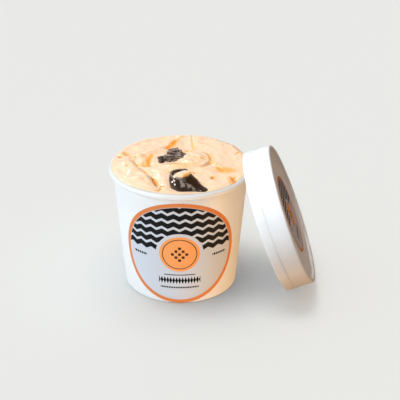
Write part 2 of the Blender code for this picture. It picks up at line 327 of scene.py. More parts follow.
# %% Place the camera
CAMERA_FROM_CUP = Vector((9.58, -487.94, 287.62)) * MM
CAMERA_PITCH = math.radians(-26.65)
CAMERA_ROLL = math.radians(-0.387)
camera_data = bpy.data.cameras.new("camera")
camera_data.lens = 99.0
camera_data.sensor_width = 36.0
camera_data.clip_start = 0.01
camera = bpy.data.objects.new("camera", camera_data)
bpy.context.scene.collection.objects.link(camera)
looking = Vector((0.0, math.cos(CAMERA_PITCH), math.sin(CAMERA_PITCH)))
level_right = Vector((1.0, 0.0, 0.0))
level_up = level_right.cross(looking)
right = level_right * math.cos(CAMERA_ROLL) - level_up * math.sin(CAMERA_ROLL)
up = right.cross(looking)
camera.matrix_world = Matrix.Translation(Vector((CUP_X, CUP_Y, 0.0)) + CAMERA_FROM_CUP) @ Matrix(
    (right, up, -looking)).transposed().to_4x4()
bpy.context.scene.camera = camera
print(f"camera {camera.location.length:.3f} m away, lens {camera_data.lens:.0f} mm")

# %% [markdown]
# ## Finish of coated card
# Cup card is bleached board with a thin plastic skin: white, satin, very slightly mottled where the
# fibres show through. A fine noise moves the colour by a hair and a finer one gives it tooth.

# %% White card
def card_finish(name, colour, mottled, roughness):
    recipe = Recipe(name)
    cloud = recipe.noise(260.0, 4.0)
    fibre = recipe.noise(2200.0, 2.0)
    recipe.feed("Base Color", recipe.mix(cloud, mottled, colour))
    recipe.feed("Roughness", roughness + 0.10 * fibre)
    recipe.bump(fibre + cloud, 0.03 * MM, 0.25)
    return recipe


cup_card = card_finish("cup_card", (0.86, 0.87, 0.87), (0.80, 0.815, 0.825), 0.38)
base_card = card_finish("base_card", (0.80, 0.81, 0.81), (0.74, 0.755, 0.765), 0.45)

# %% [markdown]
# ## The cup's wall
# A paper cup's wall is one sheet. It is rolled into a cone, its upper edge is curled outwards into a
# bead, and its lower edge is folded in and up to hold the bottom disc. So it is modelled as a sheet:
# a cone without ends, whose top edge is extruded round the curl and whose bottom edge is extruded
# round the fold. A Solidify modifier then gives the sheet the thickness of card.

# %% Model the wall, its rolled rim and its hem
WALL_STEPS = 128
HALF_CARD = 0.5 * CARD
CURL = BEAD_RADIUS - HALF_CARD
HEM_HEIGHT = 4.2 * MM
HEM_INSET = 1.5 * MM
FOOT_ROUND = 0.55 * MM


def wall_radius(height):
    """Outside of the cup's wall at a height above the floor."""
    return FOOT_RADIUS + (SHOULDER_RADIUS - FOOT_RADIUS) * height / WALL_TOP


cone_low = FOOT_ROUND + HALF_CARD
bpy.ops.mesh.primitive_cone_add(
    vertices=WALL_STEPS, radius1=wall_radius(cone_low) - HALF_CARD, radius2=wall_radius(WALL_TOP) - HALF_CARD,
    depth=WALL_TOP - cone_low, end_fill_type="NOTHING", location=(0, 0, 0.5 * (WALL_TOP + cone_low)))
wall = added("paper_cup")
apply_place(wall)
edit(wall, "EDGE")
open_edges(above=0.5 * BRIM)
curl = arc((BEAD_CENTRE, BEAD_LEVEL), CURL, 178, -118, 18)
run_loop([(wall_radius(WALL_TOP) - HALF_CARD, WALL_TOP)] + curl)
bpy.ops.mesh.select_all(action="DESELECT")
open_edges(below=0.1 * BRIM)
fold_out = wall_radius(cone_low) - HALF_CARD
fold = arc((fold_out - FOOT_ROUND, cone_low), FOOT_ROUND, 0, -90, 4)
fold += arc((fold_out - HEM_INSET, cone_low), FOOT_ROUND, -90, -180, 4)
fold += [(fold_out - HEM_INSET - FOOT_ROUND + 0.35 * MM, HEM_HEIGHT)]
run_loop(fold)
done()
face_outwards(wall)
apply_modifier(wall, "SOLIDIFY", thickness=CARD, offset=0.0, use_even_offset=True)
face_outwards(wall)
smooth(wall, 50)
put_on_cup(wall)
paint(wall, cup_card)
keep(wall, "cup_card", "cup_wall")

# %% [markdown]
# ## The seam
# The sheet's two side edges overlap in one glued seam up the wall. On the real cup it is turned away
# from the label, so here it is at the back: a thin strip of card, laid on the cone and bevelled.

# %% Lay the seam up the back of the wall
SEAM_WIDTH = 6.0 * MM
SEAM_THICK = 0.22 * MM
SEAM_LIFT = 0.02 * MM
SEAM_LOW = 1.4 * MM
SEAM_HIGH = WALL_TOP - 0.8 * MM
bpy.ops.mesh.primitive_grid_add(x_subdivisions=6, y_subdivisions=20, size=1.0)
seam = added("wall_seam")


def wrap_seam(places):
    height = SEAM_LOW + (places[:, 1] + 0.5) * (SEAM_HIGH - SEAM_LOW)
    radius = wall_radius(height) + SEAM_LIFT
    azimuth = math.radians(97) + places[:, 0] * SEAM_WIDTH / radius
    return np.column_stack((radius * np.cos(azimuth), radius * np.sin(azimuth), height))


move_points(seam, wrap_seam)
face_outwards(seam)
apply_modifier(seam, "SOLIDIFY", thickness=SEAM_THICK, offset=1.0)
apply_modifier(seam, "BEVEL", width=0.08 * MM, segments=2, limit_method="ANGLE")
face_outwards(seam)
smooth(seam, 50)
put_on_cup(seam)
paint(seam, cup_card)
keep(seam, "cup_card")

# %% [markdown]
# ## The bottom disc
# The cup's bottom is a second piece of card: a disc pressed into a shallow pan, whose skirt is held
# by the folded hem. It is a circle with its edge extruded down, then given card's thickness.

# %% Model the bottom disc
BASE_LEVEL = 4.9 * MM
base_radius = wall_radius(BASE_LEVEL) - 2.2 * CARD
bpy.ops.mesh.primitive_circle_add(vertices=WALL_STEPS, radius=base_radius, fill_type="NGON", location=(0, 0, BASE_LEVEL))
base = added("bottom_disc")
apply_place(base)
edit(base, "FACE")
bpy.ops.mesh.select_all(action="SELECT")
bpy.ops.mesh.inset(thickness=0.8 * MM)
bpy.ops.mesh.inset(thickness=2.5 * MM, depth=0.0)
bpy.ops.mesh.select_mode(type="EDGE")
bpy.ops.mesh.select_all(action="DESELECT")
open_edges()
run_loop([(base_radius, BASE_LEVEL), (base_radius + 0.05 * MM, BASE_LEVEL - 0.3 * MM), (base_radius - 0.25 * MM, 1.5 * MM)])
done()
face_outwards(base)
apply_modifier(base, "SOLIDIFY", thickness=CARD * 0.8, offset=0.0)
face_outwards(base)
smooth(base, 40)
put_on_cup(base)
paint(base, base_card)
keep(base, "base_card", "cup_base")

# %% [markdown]
# ## A generic printed label
# The label is a nearly round piece of paper, printed in two inks: an orange edge, a pale field, bold
# black zigzag rows over its upper part, an orange disc with a plain lattice, and rows of lozenges
# below. It carries no lettering. The pattern is a formula of the label's own flat coordinates, kept in
# its UV map, so it wraps round the wall with the paper. Places in the formula are in millimetres.

# %% The label's print
ORANGE = (0.74, 0.235, 0.07)
LIGHT_ORANGE = (0.92, 0.37, 0.125)
INK = (0.006, 0.006, 0.007)
FIELD = (0.62, 0.65, 0.71)
LABEL_HALF_WIDTH = 29.4 * MM
LABEL_HALF_HEIGHT = 28.5 * MM
EDGE_SOFT = 0.12


def zigzag(recipe, place, period):
    """0 to 1 and back, once a period."""
    folded = recipe.node("ShaderNodeMath", {"operation": "PINGPONG"}, {0: place + 30.5 * period, 1: 0.5 * period})
    return folded * (2.0 / period)


def inside_of(recipe, distance, limit):
    """1 where a distance is below a limit."""
    return 1.0 - recipe.step(limit - EDGE_SOFT, limit + EDGE_SOFT, distance)


def lozenge_row(recipe, across, upright, level, period, half_height, half_length):
    """A row of lozenges, each as wide as its period allows."""
    beat = abs(zigzag(recipe, across, period) - 0.5) * 2.0
    height = abs(upright - level) * (1.0 / half_height)
    filled = 1.0 - recipe.step(0.85, 1.0, height + (1.0 - beat) * 0.9)
    return filled * inside_of(recipe, abs(across), half_length)


def label_print(name):
    """The inks of a label whose flat UV map runs from 0 to 1 each way."""
    recipe = Recipe(name)
    flat = recipe.node("ShaderNodeSeparateXYZ", None, {0: recipe.node("ShaderNodeUVMap", {"uv_map": "flat"})})
    across = (flat - 0.5) * (2.0 * LABEL_HALF_WIDTH / MM)
    upright = (Wire(recipe, flat.socket.node.outputs[1]) - 0.5) * (2.0 * LABEL_HALF_HEIGHT / MM)
    full = LABEL_HALF_HEIGHT / MM
    narrowed = across * (LABEL_HALF_HEIGHT / LABEL_HALF_WIDTH)
    reach = (narrowed * narrowed + upright * upright) ** 0.5
    ring = recipe.step(full - 2.0 - EDGE_SOFT, full - 2.0 + EDGE_SOFT, reach)
    disc_reach = (across * across + upright * upright) ** 0.5
    margin = inside_of(recipe, disc_reach, 11.7)
    disc = inside_of(recipe, disc_reach, 9.9)
    # bold zigzag rows over the upper part
    rows = zigzag(recipe, upright + 1.5 * zigzag(recipe, across, 5.6), 4.3)
    above = recipe.step(2.6, 2.8, upright + 1.5 * zigzag(recipe, across, 5.6))
    bold = recipe.step(0.29, 0.37, rows) * above * inside_of(recipe, reach, full - 2.2)
    # a plain lattice and a thin circle in the disc
    lattice = zigzag(recipe, across + upright, 3.4) + zigzag(recipe, across - upright, 3.4)
    lattice = recipe.step(1.12, 1.2, lattice) * inside_of(recipe, abs(across) + abs(upright), 5.2)
    circle = inside_of(recipe, abs(disc_reach - 8.3), 0.22)
    # rows of lozenges and rules below
    low_rows = lozenge_row(recipe, across, upright, -15.2, 2.9, 2.2, 10.2)
    low_rows += lozenge_row(recipe, across, upright, -19.3, 1.7, 0.75, 9.4)
    low_rows += inside_of(recipe, abs(upright + 11.9), 0.26) * inside_of(recipe, abs(across), 7.6)
    side_rows = lozenge_row(recipe, abs(across) - 20.4, upright, -2.2, 2.7, 1.0, 3.9)
    paper = recipe.mix(recipe.noise(180.0, 4.0), tuple(0.97 * value for value in FIELD), FIELD)
    colour = recipe.mix(ring, paper, ORANGE)
    colour = recipe.mix(bold, colour, INK)
    colour = recipe.mix(margin, colour, paper)
    colour = recipe.mix(disc, colour, LIGHT_ORANGE)
    colour = recipe.mix((lattice + circle) * disc * 0.95, colour, INK)
    colour = recipe.mix((low_rows + side_rows) * (1.0 - margin), colour, INK)
    recipe.feed("Base Color", colour)
    recipe.feed("Roughness", 0.55 + 0.10 * recipe.noise(900.0, 2.0))
    recipe.bump(recipe.noise(1500.0, 2.0), 0.02 * MM, 0.2)
    recipe.constant(Specular_IOR_Level=0.12)
    return recipe


cup_print = label_print("cup_print")
lid_print = label_print("lid_print")
print("label inks made")

# %% [markdown]
# ## Wrap the label round the wall
# A flat disc of paper is modelled first, with rings of faces inset from its edge, and its flat shape
# is stored as the UV map. Each point is then laid on the cone: its height becomes a distance up the
# slanted wall, and its sideways place a turn round the axis. Bending operators need a window, so the
# wrap is a rule for the points.

# %% Model the flat label and lay it on the cone
LABEL_SLANT = 28.9 * MM
LABEL_LIFT = 0.03 * MM
LABEL_THICK = 0.10 * MM
LABEL_INSETS = 14


def flat_label(name, half_width, half_height):
    """A disc of rings with a UV map of its flat shape, named flat."""
    bpy.ops.mesh.primitive_circle_add(vertices=96, radius=half_height, fill_type="NGON")
    piece = added(name)
    edit(piece, "FACE")
    bpy.ops.mesh.select_all(action="SELECT")
    for _ in range(LABEL_INSETS):
        bpy.ops.mesh.inset(thickness=0.93 * half_height / LABEL_INSETS)
    bpy.ops.mesh.poke()
    done()
    for layer in list(piece.data.uv_layers):
        piece.data.uv_layers.remove(layer)
    flat = piece.data.uv_layers.new(name="flat")
    for loop in piece.data.loops:
        place = piece.data.vertices[loop.vertex_index].co
        flat.data[loop.index].uv = (0.5 + 0.5 * place.x / half_height, 0.5 + 0.5 * place.y / half_height)
    piece.scale.x = half_width / half_height
    apply_place(piece)
    return piece


def wrap_label(places):
    slope = math.hypot(WALL_TOP, SHOULDER_RADIUS - FOOT_RADIUS) / WALL_TOP
    height = (LABEL_SLANT + places[:, 1]) / slope
    radius = wall_radius(height)
    azimuth = places[:, 0] / radius
    radius = radius + LABEL_LIFT
    return np.column_stack((radius * np.sin(azimuth), -radius * np.cos(azimuth), height))


label = flat_label("cup_label_print", LABEL_HALF_WIDTH, LABEL_HALF_HEIGHT)
move_points(label, wrap_label)
apply_modifier(label, "SOLIDIFY", thickness=LABEL_THICK, offset=1.0)
smooth(label, 50)
put_on_cup(label)
paint(label, cup_print)
keep(label, "cup_print", "cup_label")

# %% [markdown]
# ## The lid
# The lid is a shallow pan pressed from thin stock: a wider band that grips the bead along its open
# edge, a plain skirt, a raised rim and a sunken face. It is modelled lying open side down, as one
# sheet: a disc for the face, whose edge is extruded up the recess, over the rim and down the skirt.
# Then it is given its thickness and leant in place with one matrix.

# %% Model the lid in its own place
LID_RADIUS = 35.7 * MM
LID_HEIGHT = 14.0 * MM
LID_WALL = 0.55 * MM
LID_BAND = 4.8 * MM
LID_STEP = 0.2 * MM
LID_RECESS = 1.4 * MM
LID_STEPS = 160


def lid_route():
    """Middle of the lid's wall from the edge of its face to its open edge."""
    half = 0.5 * LID_WALL
    skirt = LID_RADIUS - LID_STEP - half
    band = LID_RADIUS - half
    face = LID_HEIGHT - LID_RECESS - half
    rim_round = 0.75 * MM
    recess = skirt - 2.0 * rim_round - 0.35 * MM
    route = arc((recess - 0.5 * MM, face + 0.5 * MM), 0.5 * MM, -90, 0, 4)
    route += arc((recess + rim_round, LID_HEIGHT - half - rim_round), rim_round, 180, 90, 5)
    route += arc((skirt - rim_round, LID_HEIGHT - half - rim_round), rim_round, 90, 0, 5)
    route += [(skirt, 0.5 * LID_HEIGHT + 1.5 * MM), (skirt, LID_BAND + 0.45 * MM)]
    route += [(skirt + 0.03 * MM, LID_BAND + 0.22 * MM), (band - 0.03 * MM, LID_BAND - 0.02 * MM)]
    route += [(band, LID_BAND - 0.25 * MM), (band, 2.0 * MM), (band, 0.62 * MM)]
    route += [(band - 0.02 * MM, half + 0.05 * MM)]
    return route


route = lid_route()
bpy.ops.mesh.primitive_circle_add(vertices=LID_STEPS, radius=route[0][0], fill_type="NGON", location=(0, 0, route[0][1]))
lid = added("lid_shell")
apply_place(lid)
edit(lid, "FACE")
bpy.ops.mesh.select_all(action="SELECT")
for _ in range(6):
    bpy.ops.mesh.inset(thickness=5.0 * MM)
bpy.ops.mesh.poke()
bpy.ops.mesh.select_mode(type="EDGE")
bpy.ops.mesh.select_all(action="DESELECT")
open_edges()
run_loop(route)
done()
face_outwards(lid)
apply_modifier(lid, "SOLIDIFY", thickness=LID_WALL, offset=0.0, use_even_offset=True)
apply_modifier(lid, "BEVEL", width=0.1 * MM, segments=2, limit_method="ANGLE", angle_limit=math.radians(60))
face_outwards(lid)
smooth(lid, 45)

# %% [markdown]
# ## Lean the lid on the cup
# The lid stands on the lowest point of its band and leans back on the bead, so its axis points
# away from the cup and about 21 degrees up. A circle's box gives back the circle: along each axis its
# half width is the radius times the sine of the angle between that axis and the circle's own.

# %% Find the lid's place from its node and put it there
LID_LEAN = math.radians(21.2)
LID_TURN = math.radians(-2.0)
lid_low, lid_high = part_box("lid")
outwards = Vector((math.cos(LID_TURN), math.sin(LID_TURN), 0.0))
lid_axis = outwards * math.cos(LID_LEAN) + Vector((0.0, 0.0, 1.0)) * math.sin(LID_LEAN)
lid_down = outwards * math.sin(LID_LEAN) - Vector((0.0, 0.0, 1.0)) * math.cos(LID_LEAN)
lid_side = lid_axis.cross(lid_down)
lid_centre = Vector((
    lid_low.x + LID_RADIUS * math.sqrt(1.0 - lid_axis.x ** 2),
    lid_high.y - LID_RADIUS * math.sqrt(1.0 - lid_axis.y ** 2),
    LID_RADIUS * math.cos(LID_LEAN)))
lid_matrix = Matrix.Translation(lid_centre) @ Matrix((lid_down, lid_side, lid_axis)).transposed().to_4x4()
lid.matrix_world = lid_matrix
apply_place(lid)
print("lid's open edge is centred at", [round(value / MM, 2) for value in lid_centre], "mm")

# %% [markdown]
# ## Finish of the lid
# The lid's stock is whiter and a little smoother than the cup's, with the faint unevenness of
# pressed board.

# %% Lid material
lid_stock = card_finish("lid_plastic", (0.89, 0.90, 0.905), (0.86, 0.875, 0.885), 0.33)
paint(lid, lid_stock)
keep(lid, "lid_plastic", "lid")

# %% Lay the lid's label on its sunken face
LID_LABEL_TURN = math.radians(88)
LID_LABEL_RADIUS = 19.6 * MM
lid_label = flat_label("lid_label_print", LID_LABEL_RADIUS, LID_LABEL_RADIUS)
apply_modifier(lid_label, "SOLIDIFY", thickness=LABEL_THICK, offset=1.0)
lid_label_level = LID_HEIGHT - LID_RECESS + 0.03 * MM
smooth(lid_label, 50)
lid_label.matrix_world = lid_matrix @ Matrix.Translation((0, 0, lid_label_level)) @ Matrix.Rotation(LID_LABEL_TURN, 4, "Z")
apply_place(lid_label)
paint(lid_label, lid_print)
keep(lid_label, "lid_print", "lid_label")

# %% [markdown]
# ## Gelato: how its surface is thought out
# Gelato is worked with a flat spatula, so its surface isn't noise: it is a few swipes and lobes
# laid over each other. Each has its own slope, and where one ends against the next there is a
# crease. So the surface is a height over the cup's round mouth, made of named forms. Smooth forms are
# joined by taking the higher of the two, which leaves a real crease between them. Thin grooves and
# streaks of syrup follow short smooth curves. Places are in millimetres, x to the right and y away
# from the label, measured from the cup's axis, and heights are above its brim.

# %% Curves, swells and creases
def ease(low, high, value):
    """0 below low, 1 above high, with a smooth rise between."""
    part = np.clip((value - low) / (high - low), 0.0, 1.0)
    return part * part * (3.0 - 2.0 * part)


def swell(x, y, at, size, turn=0.0):
    """A bell-shaped swell, 1 at its middle."""
    cosine = math.cos(math.radians(turn))
    sine = math.sin(math.radians(turn))
    along = ((x - at[0]) * cosine + (y - at[1]) * sine) / size[0]
    across = ((y - at[1]) * cosine - (x - at[0]) * sine) / size[1]
    return np.exp(-(along * along + across * across))


def curve_through(points, steps=6):
    """Points along a smooth curve that passes through the given ones."""
    points = [np.array(point, float) for point in points]
    padded = [2 * points[0] - points[1]] + points + [2 * points[-1] - points[-2]]
    curve = []
    for before, here, after, beyond in zip(padded, padded[1:], padded[2:], padded[3:]):
        for part in np.arange(steps) / steps:
            bend = 2 * before - 5 * here + 4 * after - beyond
            twist = 3 * here - before - 3 * after + beyond
            curve.append(here + 0.5 * part * (after - before + part * (bend + part * twist)))
    return np.array(curve + [points[-1]])


def beside(x, y, points):
    """Distance from a smooth curve, positive to its left, and the part of it that is passed."""
    curve = curve_through(points)
    nearest = np.full(x.shape, 1e9)
    side = np.ones(x.shape)
    passed = np.zeros(x.shape)
    walked = 0.0
    for start, end in zip(curve, curve[1:]):
        length = math.dist(start, end)
        way = (end - start) / length
        along = (x - start[0]) * way[0] + (y - start[1]) * way[1]
        left = (y - start[1]) * way[0] - (x - start[0]) * way[1]
        held = np.clip(along, 0.0, length)
        distance = np.hypot(along - held, left)
        closer = distance < nearest
        nearest = np.where(closer, distance, nearest)
        side = np.where(closer, np.where(left < 0.0, -1.0, 1.0), side)
        passed = np.where(closer, walked + held, passed)
        walked += length
    return nearest * side, passed / walked


def stroke(x, y, points, width):
    """A soft stroke along a curve, thinning out at both ends."""
    distance, passed = beside(x, y, points)
    taper = ease(-0.02, 0.2, passed) * (1.0 - ease(0.8, 1.02, passed))
    return taper * np.exp(-(distance / width) ** 2)


def gap(x, y, points, width):
    """A gap along a curve, widest halfway and pointed at both ends."""
    distance, passed = beside(x, y, points)
    open_width = width * np.sin(np.pi * np.clip(passed, 0.0, 1.0)) ** 0.7 + 1e-3
    return np.exp(-(distance / open_width) ** 2) * ease(0.0, 0.12, passed) * (1.0 - ease(0.88, 1.0, passed))


def cloud(x, y, size, seed):
    """Smooth noise from -1 to 1 with lumps of a size."""
    return np.array([noise.noise(Vector((a / size, b / size, seed))) for a, b in zip(x, y)])


# %% [markdown]
# ### The forms
# On the left is a smooth lobe, folded over against the rest along a line that runs from the back left
# to the front, with a few gaps left open along it. Behind the chocolate a first swipe lies on a second
# one, like a tile, and in front of them a round shell of gelato curls over to the right. A low pillow
# lies between the lumps, and the right front is a plain, nearly level swipe.

# %% Places of the fold, the swipes and the shell
FOLD = [(-27.5, 10.0), (-24.6, 6.8), (-22.4, 2.4), (-19.9, -4.2), (-16.8, -9.4), (-13.8, -14.0),
        (-11.8, -20.0), (-10.2, -25.4), (-9.8, -31.0)]
MOUND_CREST = [(-23.6, 1.0), (-22.6, 5.6), (-20.8, 10.0), (-16.6, 12.6), (-12.6, 15.4), (-8.6, 18.6)]
SWIPE_SPLIT = [(4.8, 36.0), (5.0, 29.0), (5.5, 22.0), (5.9, 12.7)]
SWIPE_LEFT = [(-2.0, 34.0), (-2.4, 27.0), (-4.6, 21.0), (-6.2, 14.0)]
SECOND_FRONT = [(12.6, 2.0), (15.4, 0.4), (17.6, -2.4), (21.4, -4.9), (25.2, -4.4), (29.0, -1.0), (34.0, 1.0)]
SHELL_MIDDLE = (5.6, 3.2)
SHELL_RADIUS = 8.9

SLOTS = [  # gaps along the fold and small open creases: curve, half width, depth
    ([(-23.2, 2.8), (-21.4, -1.8), (-19.4, -6.4)], 0.8, 1.2),
    ([(-18.9, -6.4), (-16.9, -9.6), (-15.1, -12.6)], 0.7, 1.3),
    ([(-13.6, -14.2), (-11.9, -20.0), (-10.4, -26.2)], 1.15, 1.3),
    ([(-10.4, -24.6), (-8.8, -25.0), (-6.6, -25.7)], 0.6, 0.5),
    ([(-9.6, -25.4), (-8.8, -27.5), (-9.9, -29.6), (-11.8, -29.2)], 0.6, 0.5),
    ([(-2.4, 28.4), (-4.4, 22.2), (-6.9, 15.2)], 1.9, 0.6),
    ([(-6.0, -10.4), (-5.0, -10.1), (-3.8, -10.0)], 0.5, 0.5),
    ([(24.0, -13.6), (25.4, -16.6), (26.4, -22.4)], 1.1, 0.6),
]
CREASES = [  # soft creases between sub-lobes: curve, half width, depth
    ([(-31.0, -5.6), (-28.6, -8.8), (-27.8, -12.4), (-25.6, -14.9)], 1.5, 0.42),
    ([(-23.4, -14.4), (-20.8, -14.9), (-18.4, -16.5)], 1.4, 0.32),
    ([(-17.6, -18.8), (-16.2, -21.4), (-15.2, -23.4)], 1.3, 0.32),
    ([(-14.4, -23.4), (-13.3, -25.9)], 1.1, 0.25),
    ([(-15.6, -6.4), (-13.1, -9.2), (-11.0, -11.0), (-7.0, -11.4)], 1.0, 0.28),
    ([(-16.2, 2.6), (-15.2, 0.2), (-15.4, -4.0)], 1.3, 0.45),
    ([(-19.0, 0.8), (-17.2, -1.6), (-16.2, -3.8)], 1.0, 0.3),
    ([(5.6, 3.0), (6.4, 0.6), (8.4, -2.6), (11.4, -3.2)], 0.8, 0.16),
    ([(2.6, 8.2), (4.8, 6.8), (4.0, 4.6)], 0.7, 0.2),
    ([(-28.8, 14.0), (-27.2, 11.6), (-26.0, 9.0)], 1.3, 0.4),
    ([(-32.0, 9.6), (-30.0, 7.4), (-28.6, 6.4)], 0.8, 0.35),
]
SWELLS = [  # middle, half sizes, turn, height
    ((-22.6, -7.5), (3.6, 4.6), 25.0, 0.45),
    ((-28.4, -2.0), (2.6, 4.6), -15.0, 0.35),
    ((-25.6, 2.4), (2.6, 3.0), 20.0, 0.30),
    ((-20.2, -18.4), (2.6, 2.6), 30.0, 0.35),
    ((-25.4, -18.2), (3.0, 2.2), -40.0, 0.22),
    ((-16.2, -16.2), (1.8, 3.2), 25.0, 0.30),
    ((-20.4, 6.4), (2.0, 1.5), 35.0, 0.50),
    ((-16.9, 9.4), (2.2, 1.5), 35.0, 0.45),
    ((-13.2, 12.4), (2.2, 1.7), 35.0, 0.40),
    ((-19.4, 2.8), (1.7, 1.3), 10.0, 0.40),
    ((-12.8, 3.2), (1.6, 2.4), 5.0, 0.35),
    ((-9.4, -12.4), (3.2, 3.6), 20.0, 0.40),
    ((-7.2, -19.6), (2.4, 5.4), 5.0, 0.55),
    ((0.0, -4.9), (7.4, 3.4), -4.0, 1.5),
    ((11.0, -7.6), (5.0, 2.4), -28.0, 0.85),
    ((17.0, -5.8), (2.6, 2.0), -30.0, 0.25),
    ((20.0, 12.0), (5.0, 9.0), 30.0, 0.18),
    ((10.8, 32.4), (1.4, 1.2), 0.0, 0.45),
    ((17.4, 29.0), (3.0, 1.6), -38.0, 0.25),
    ((-6.6, 27.0), (2.6, 6.0), -25.0, 0.50),
    ((21.4, -8.0), (4.4, 3.4), 0.0, -0.35),
    ((-25.4, -5.0), (1.7, 1.4), 0.0, -0.45),
    ((10.5, -25.0), (4.0, 5.0), 0.0, -0.45),
    ((17.6, -22.0), (6.0, 3.4), -30.0, 0.20),
]
PITS = [  # middle, radius, depth
    ((10.9, 3.3), 1.3, 0.55),
    ((15.8, -16.0), 1.25, 1.0),
    ((7.0, -10.8), 0.9, 0.45),
    ((25.4, -17.0), 0.9, 0.5),
    ((-30.0, 7.4), 0.7, 0.5),
    ((-18.2, 1.3), 0.6, 0.3),
]


# %% The height of the surface
def gelato_height(x, y):
    """Height above the brim, in millimetres, of the worked surface."""
    reach = np.hypot(x, y)
    surface = 0.55 - 0.35 * (reach / 35.0) ** 2
    # the left lobe stands higher and rolls down into the fold
    fold, passed = beside(x, y, FOLD)
    lobe = 1.5 - 0.9 * ease(24.0, 33.5, reach)
    surface += lobe * ease(-0.6, 4.2, -fold) * ease(-0.02, 0.25, passed)
    surface -= 0.35 * np.exp(-((fold - 0.4) / 2.2) ** 2) * ease(0.0, 0.2, passed) * (1.0 - ease(0.85, 1.0, passed))
    # the mound's crest falls steeply behind and gently in front
    crest, passed = beside(x, y, MOUND_CREST)
    fall = np.where(crest > 0.0, 1.7, 7.5)
    surface += 1.75 * np.exp(-(crest / fall) ** 2) * ease(-0.02, 0.3, passed) * (1.0 - 0.6 * ease(0.8, 1.0, passed))
    # the second swipe, a wide shallow trough that ends in a step
    split, _ = beside(x, y, SWIPE_SPLIT)
    step, _ = beside(x, y, SECOND_FRONT)
    second = 0.50 + 0.035 * np.clip(y, 0.0, 30.0) + 0.20 * ease(3.0, 0.5, step)
    here = ease(-1.5, -0.7, split) * ease(-1.5, 0.9, step)
    settles = 1.0 - 0.9 * ease(18.0, 26.0, x) * ease(13.0, 1.0, y)
    surface += (second - surface + 0.5) * here * ease(3.0, 6.0, x) * settles
    # the first swipe lies on it like a tile
    left, _ = beside(x, y, SWIPE_LEFT)
    first = 1.2 + 0.05 * (y - 14.0) + 0.02 * np.abs(split + 4.0) ** 1.5
    here = ease(0.25, -0.55, split) * ease(-0.4, 0.9, left) * ease(12.8, 14.2, y)
    surface += (first - surface) * here
    # the shell curls over to the right and melts into the rest on its left
    from_middle = np.hypot(x - SHELL_MIDDLE[0], y - SHELL_MIDDLE[1])
    shell = 2.45 - 0.010 * from_middle ** 2 + 0.13 * np.cos(1.35 * from_middle)
    edge = ease(SHELL_RADIUS + 0.5, SHELL_RADIUS - 1.0, from_middle)
    melted = ease(-5.0, 4.0, x) * ease(-6.0, 1.0, y + 0.35 * x - 1.0)
    surface += (shell - surface) * edge * melted
    for curve, width, depth in CREASES:
        surface -= depth * stroke(x, y, curve, width)
    for middle, size, turn, height in SWELLS:
        surface += height * swell(x, y, middle, size, turn)
    for curve, width, depth in SLOTS:
        surface -= depth * gap(x, y, curve, 0.75 * width)
    for middle, radius, depth in PITS:
        hole = np.hypot(x - middle[0], y - middle[1]) / radius
        surface += depth * (0.12 * np.exp(-((hole - 1.35) / 0.45) ** 2) - np.exp(-hole ** 3))
    lobe = ease(0.0, 3.0, -fold)
    surface += 0.36 * cloud(x, y, 5.5, 1.0) + (0.14 - 0.05 * lobe) * cloud(x, y, 2.4, 2.0)
    surface += (0.03 - 0.015 * lobe) * cloud(x, y, 0.9, 3.0)
    return surface
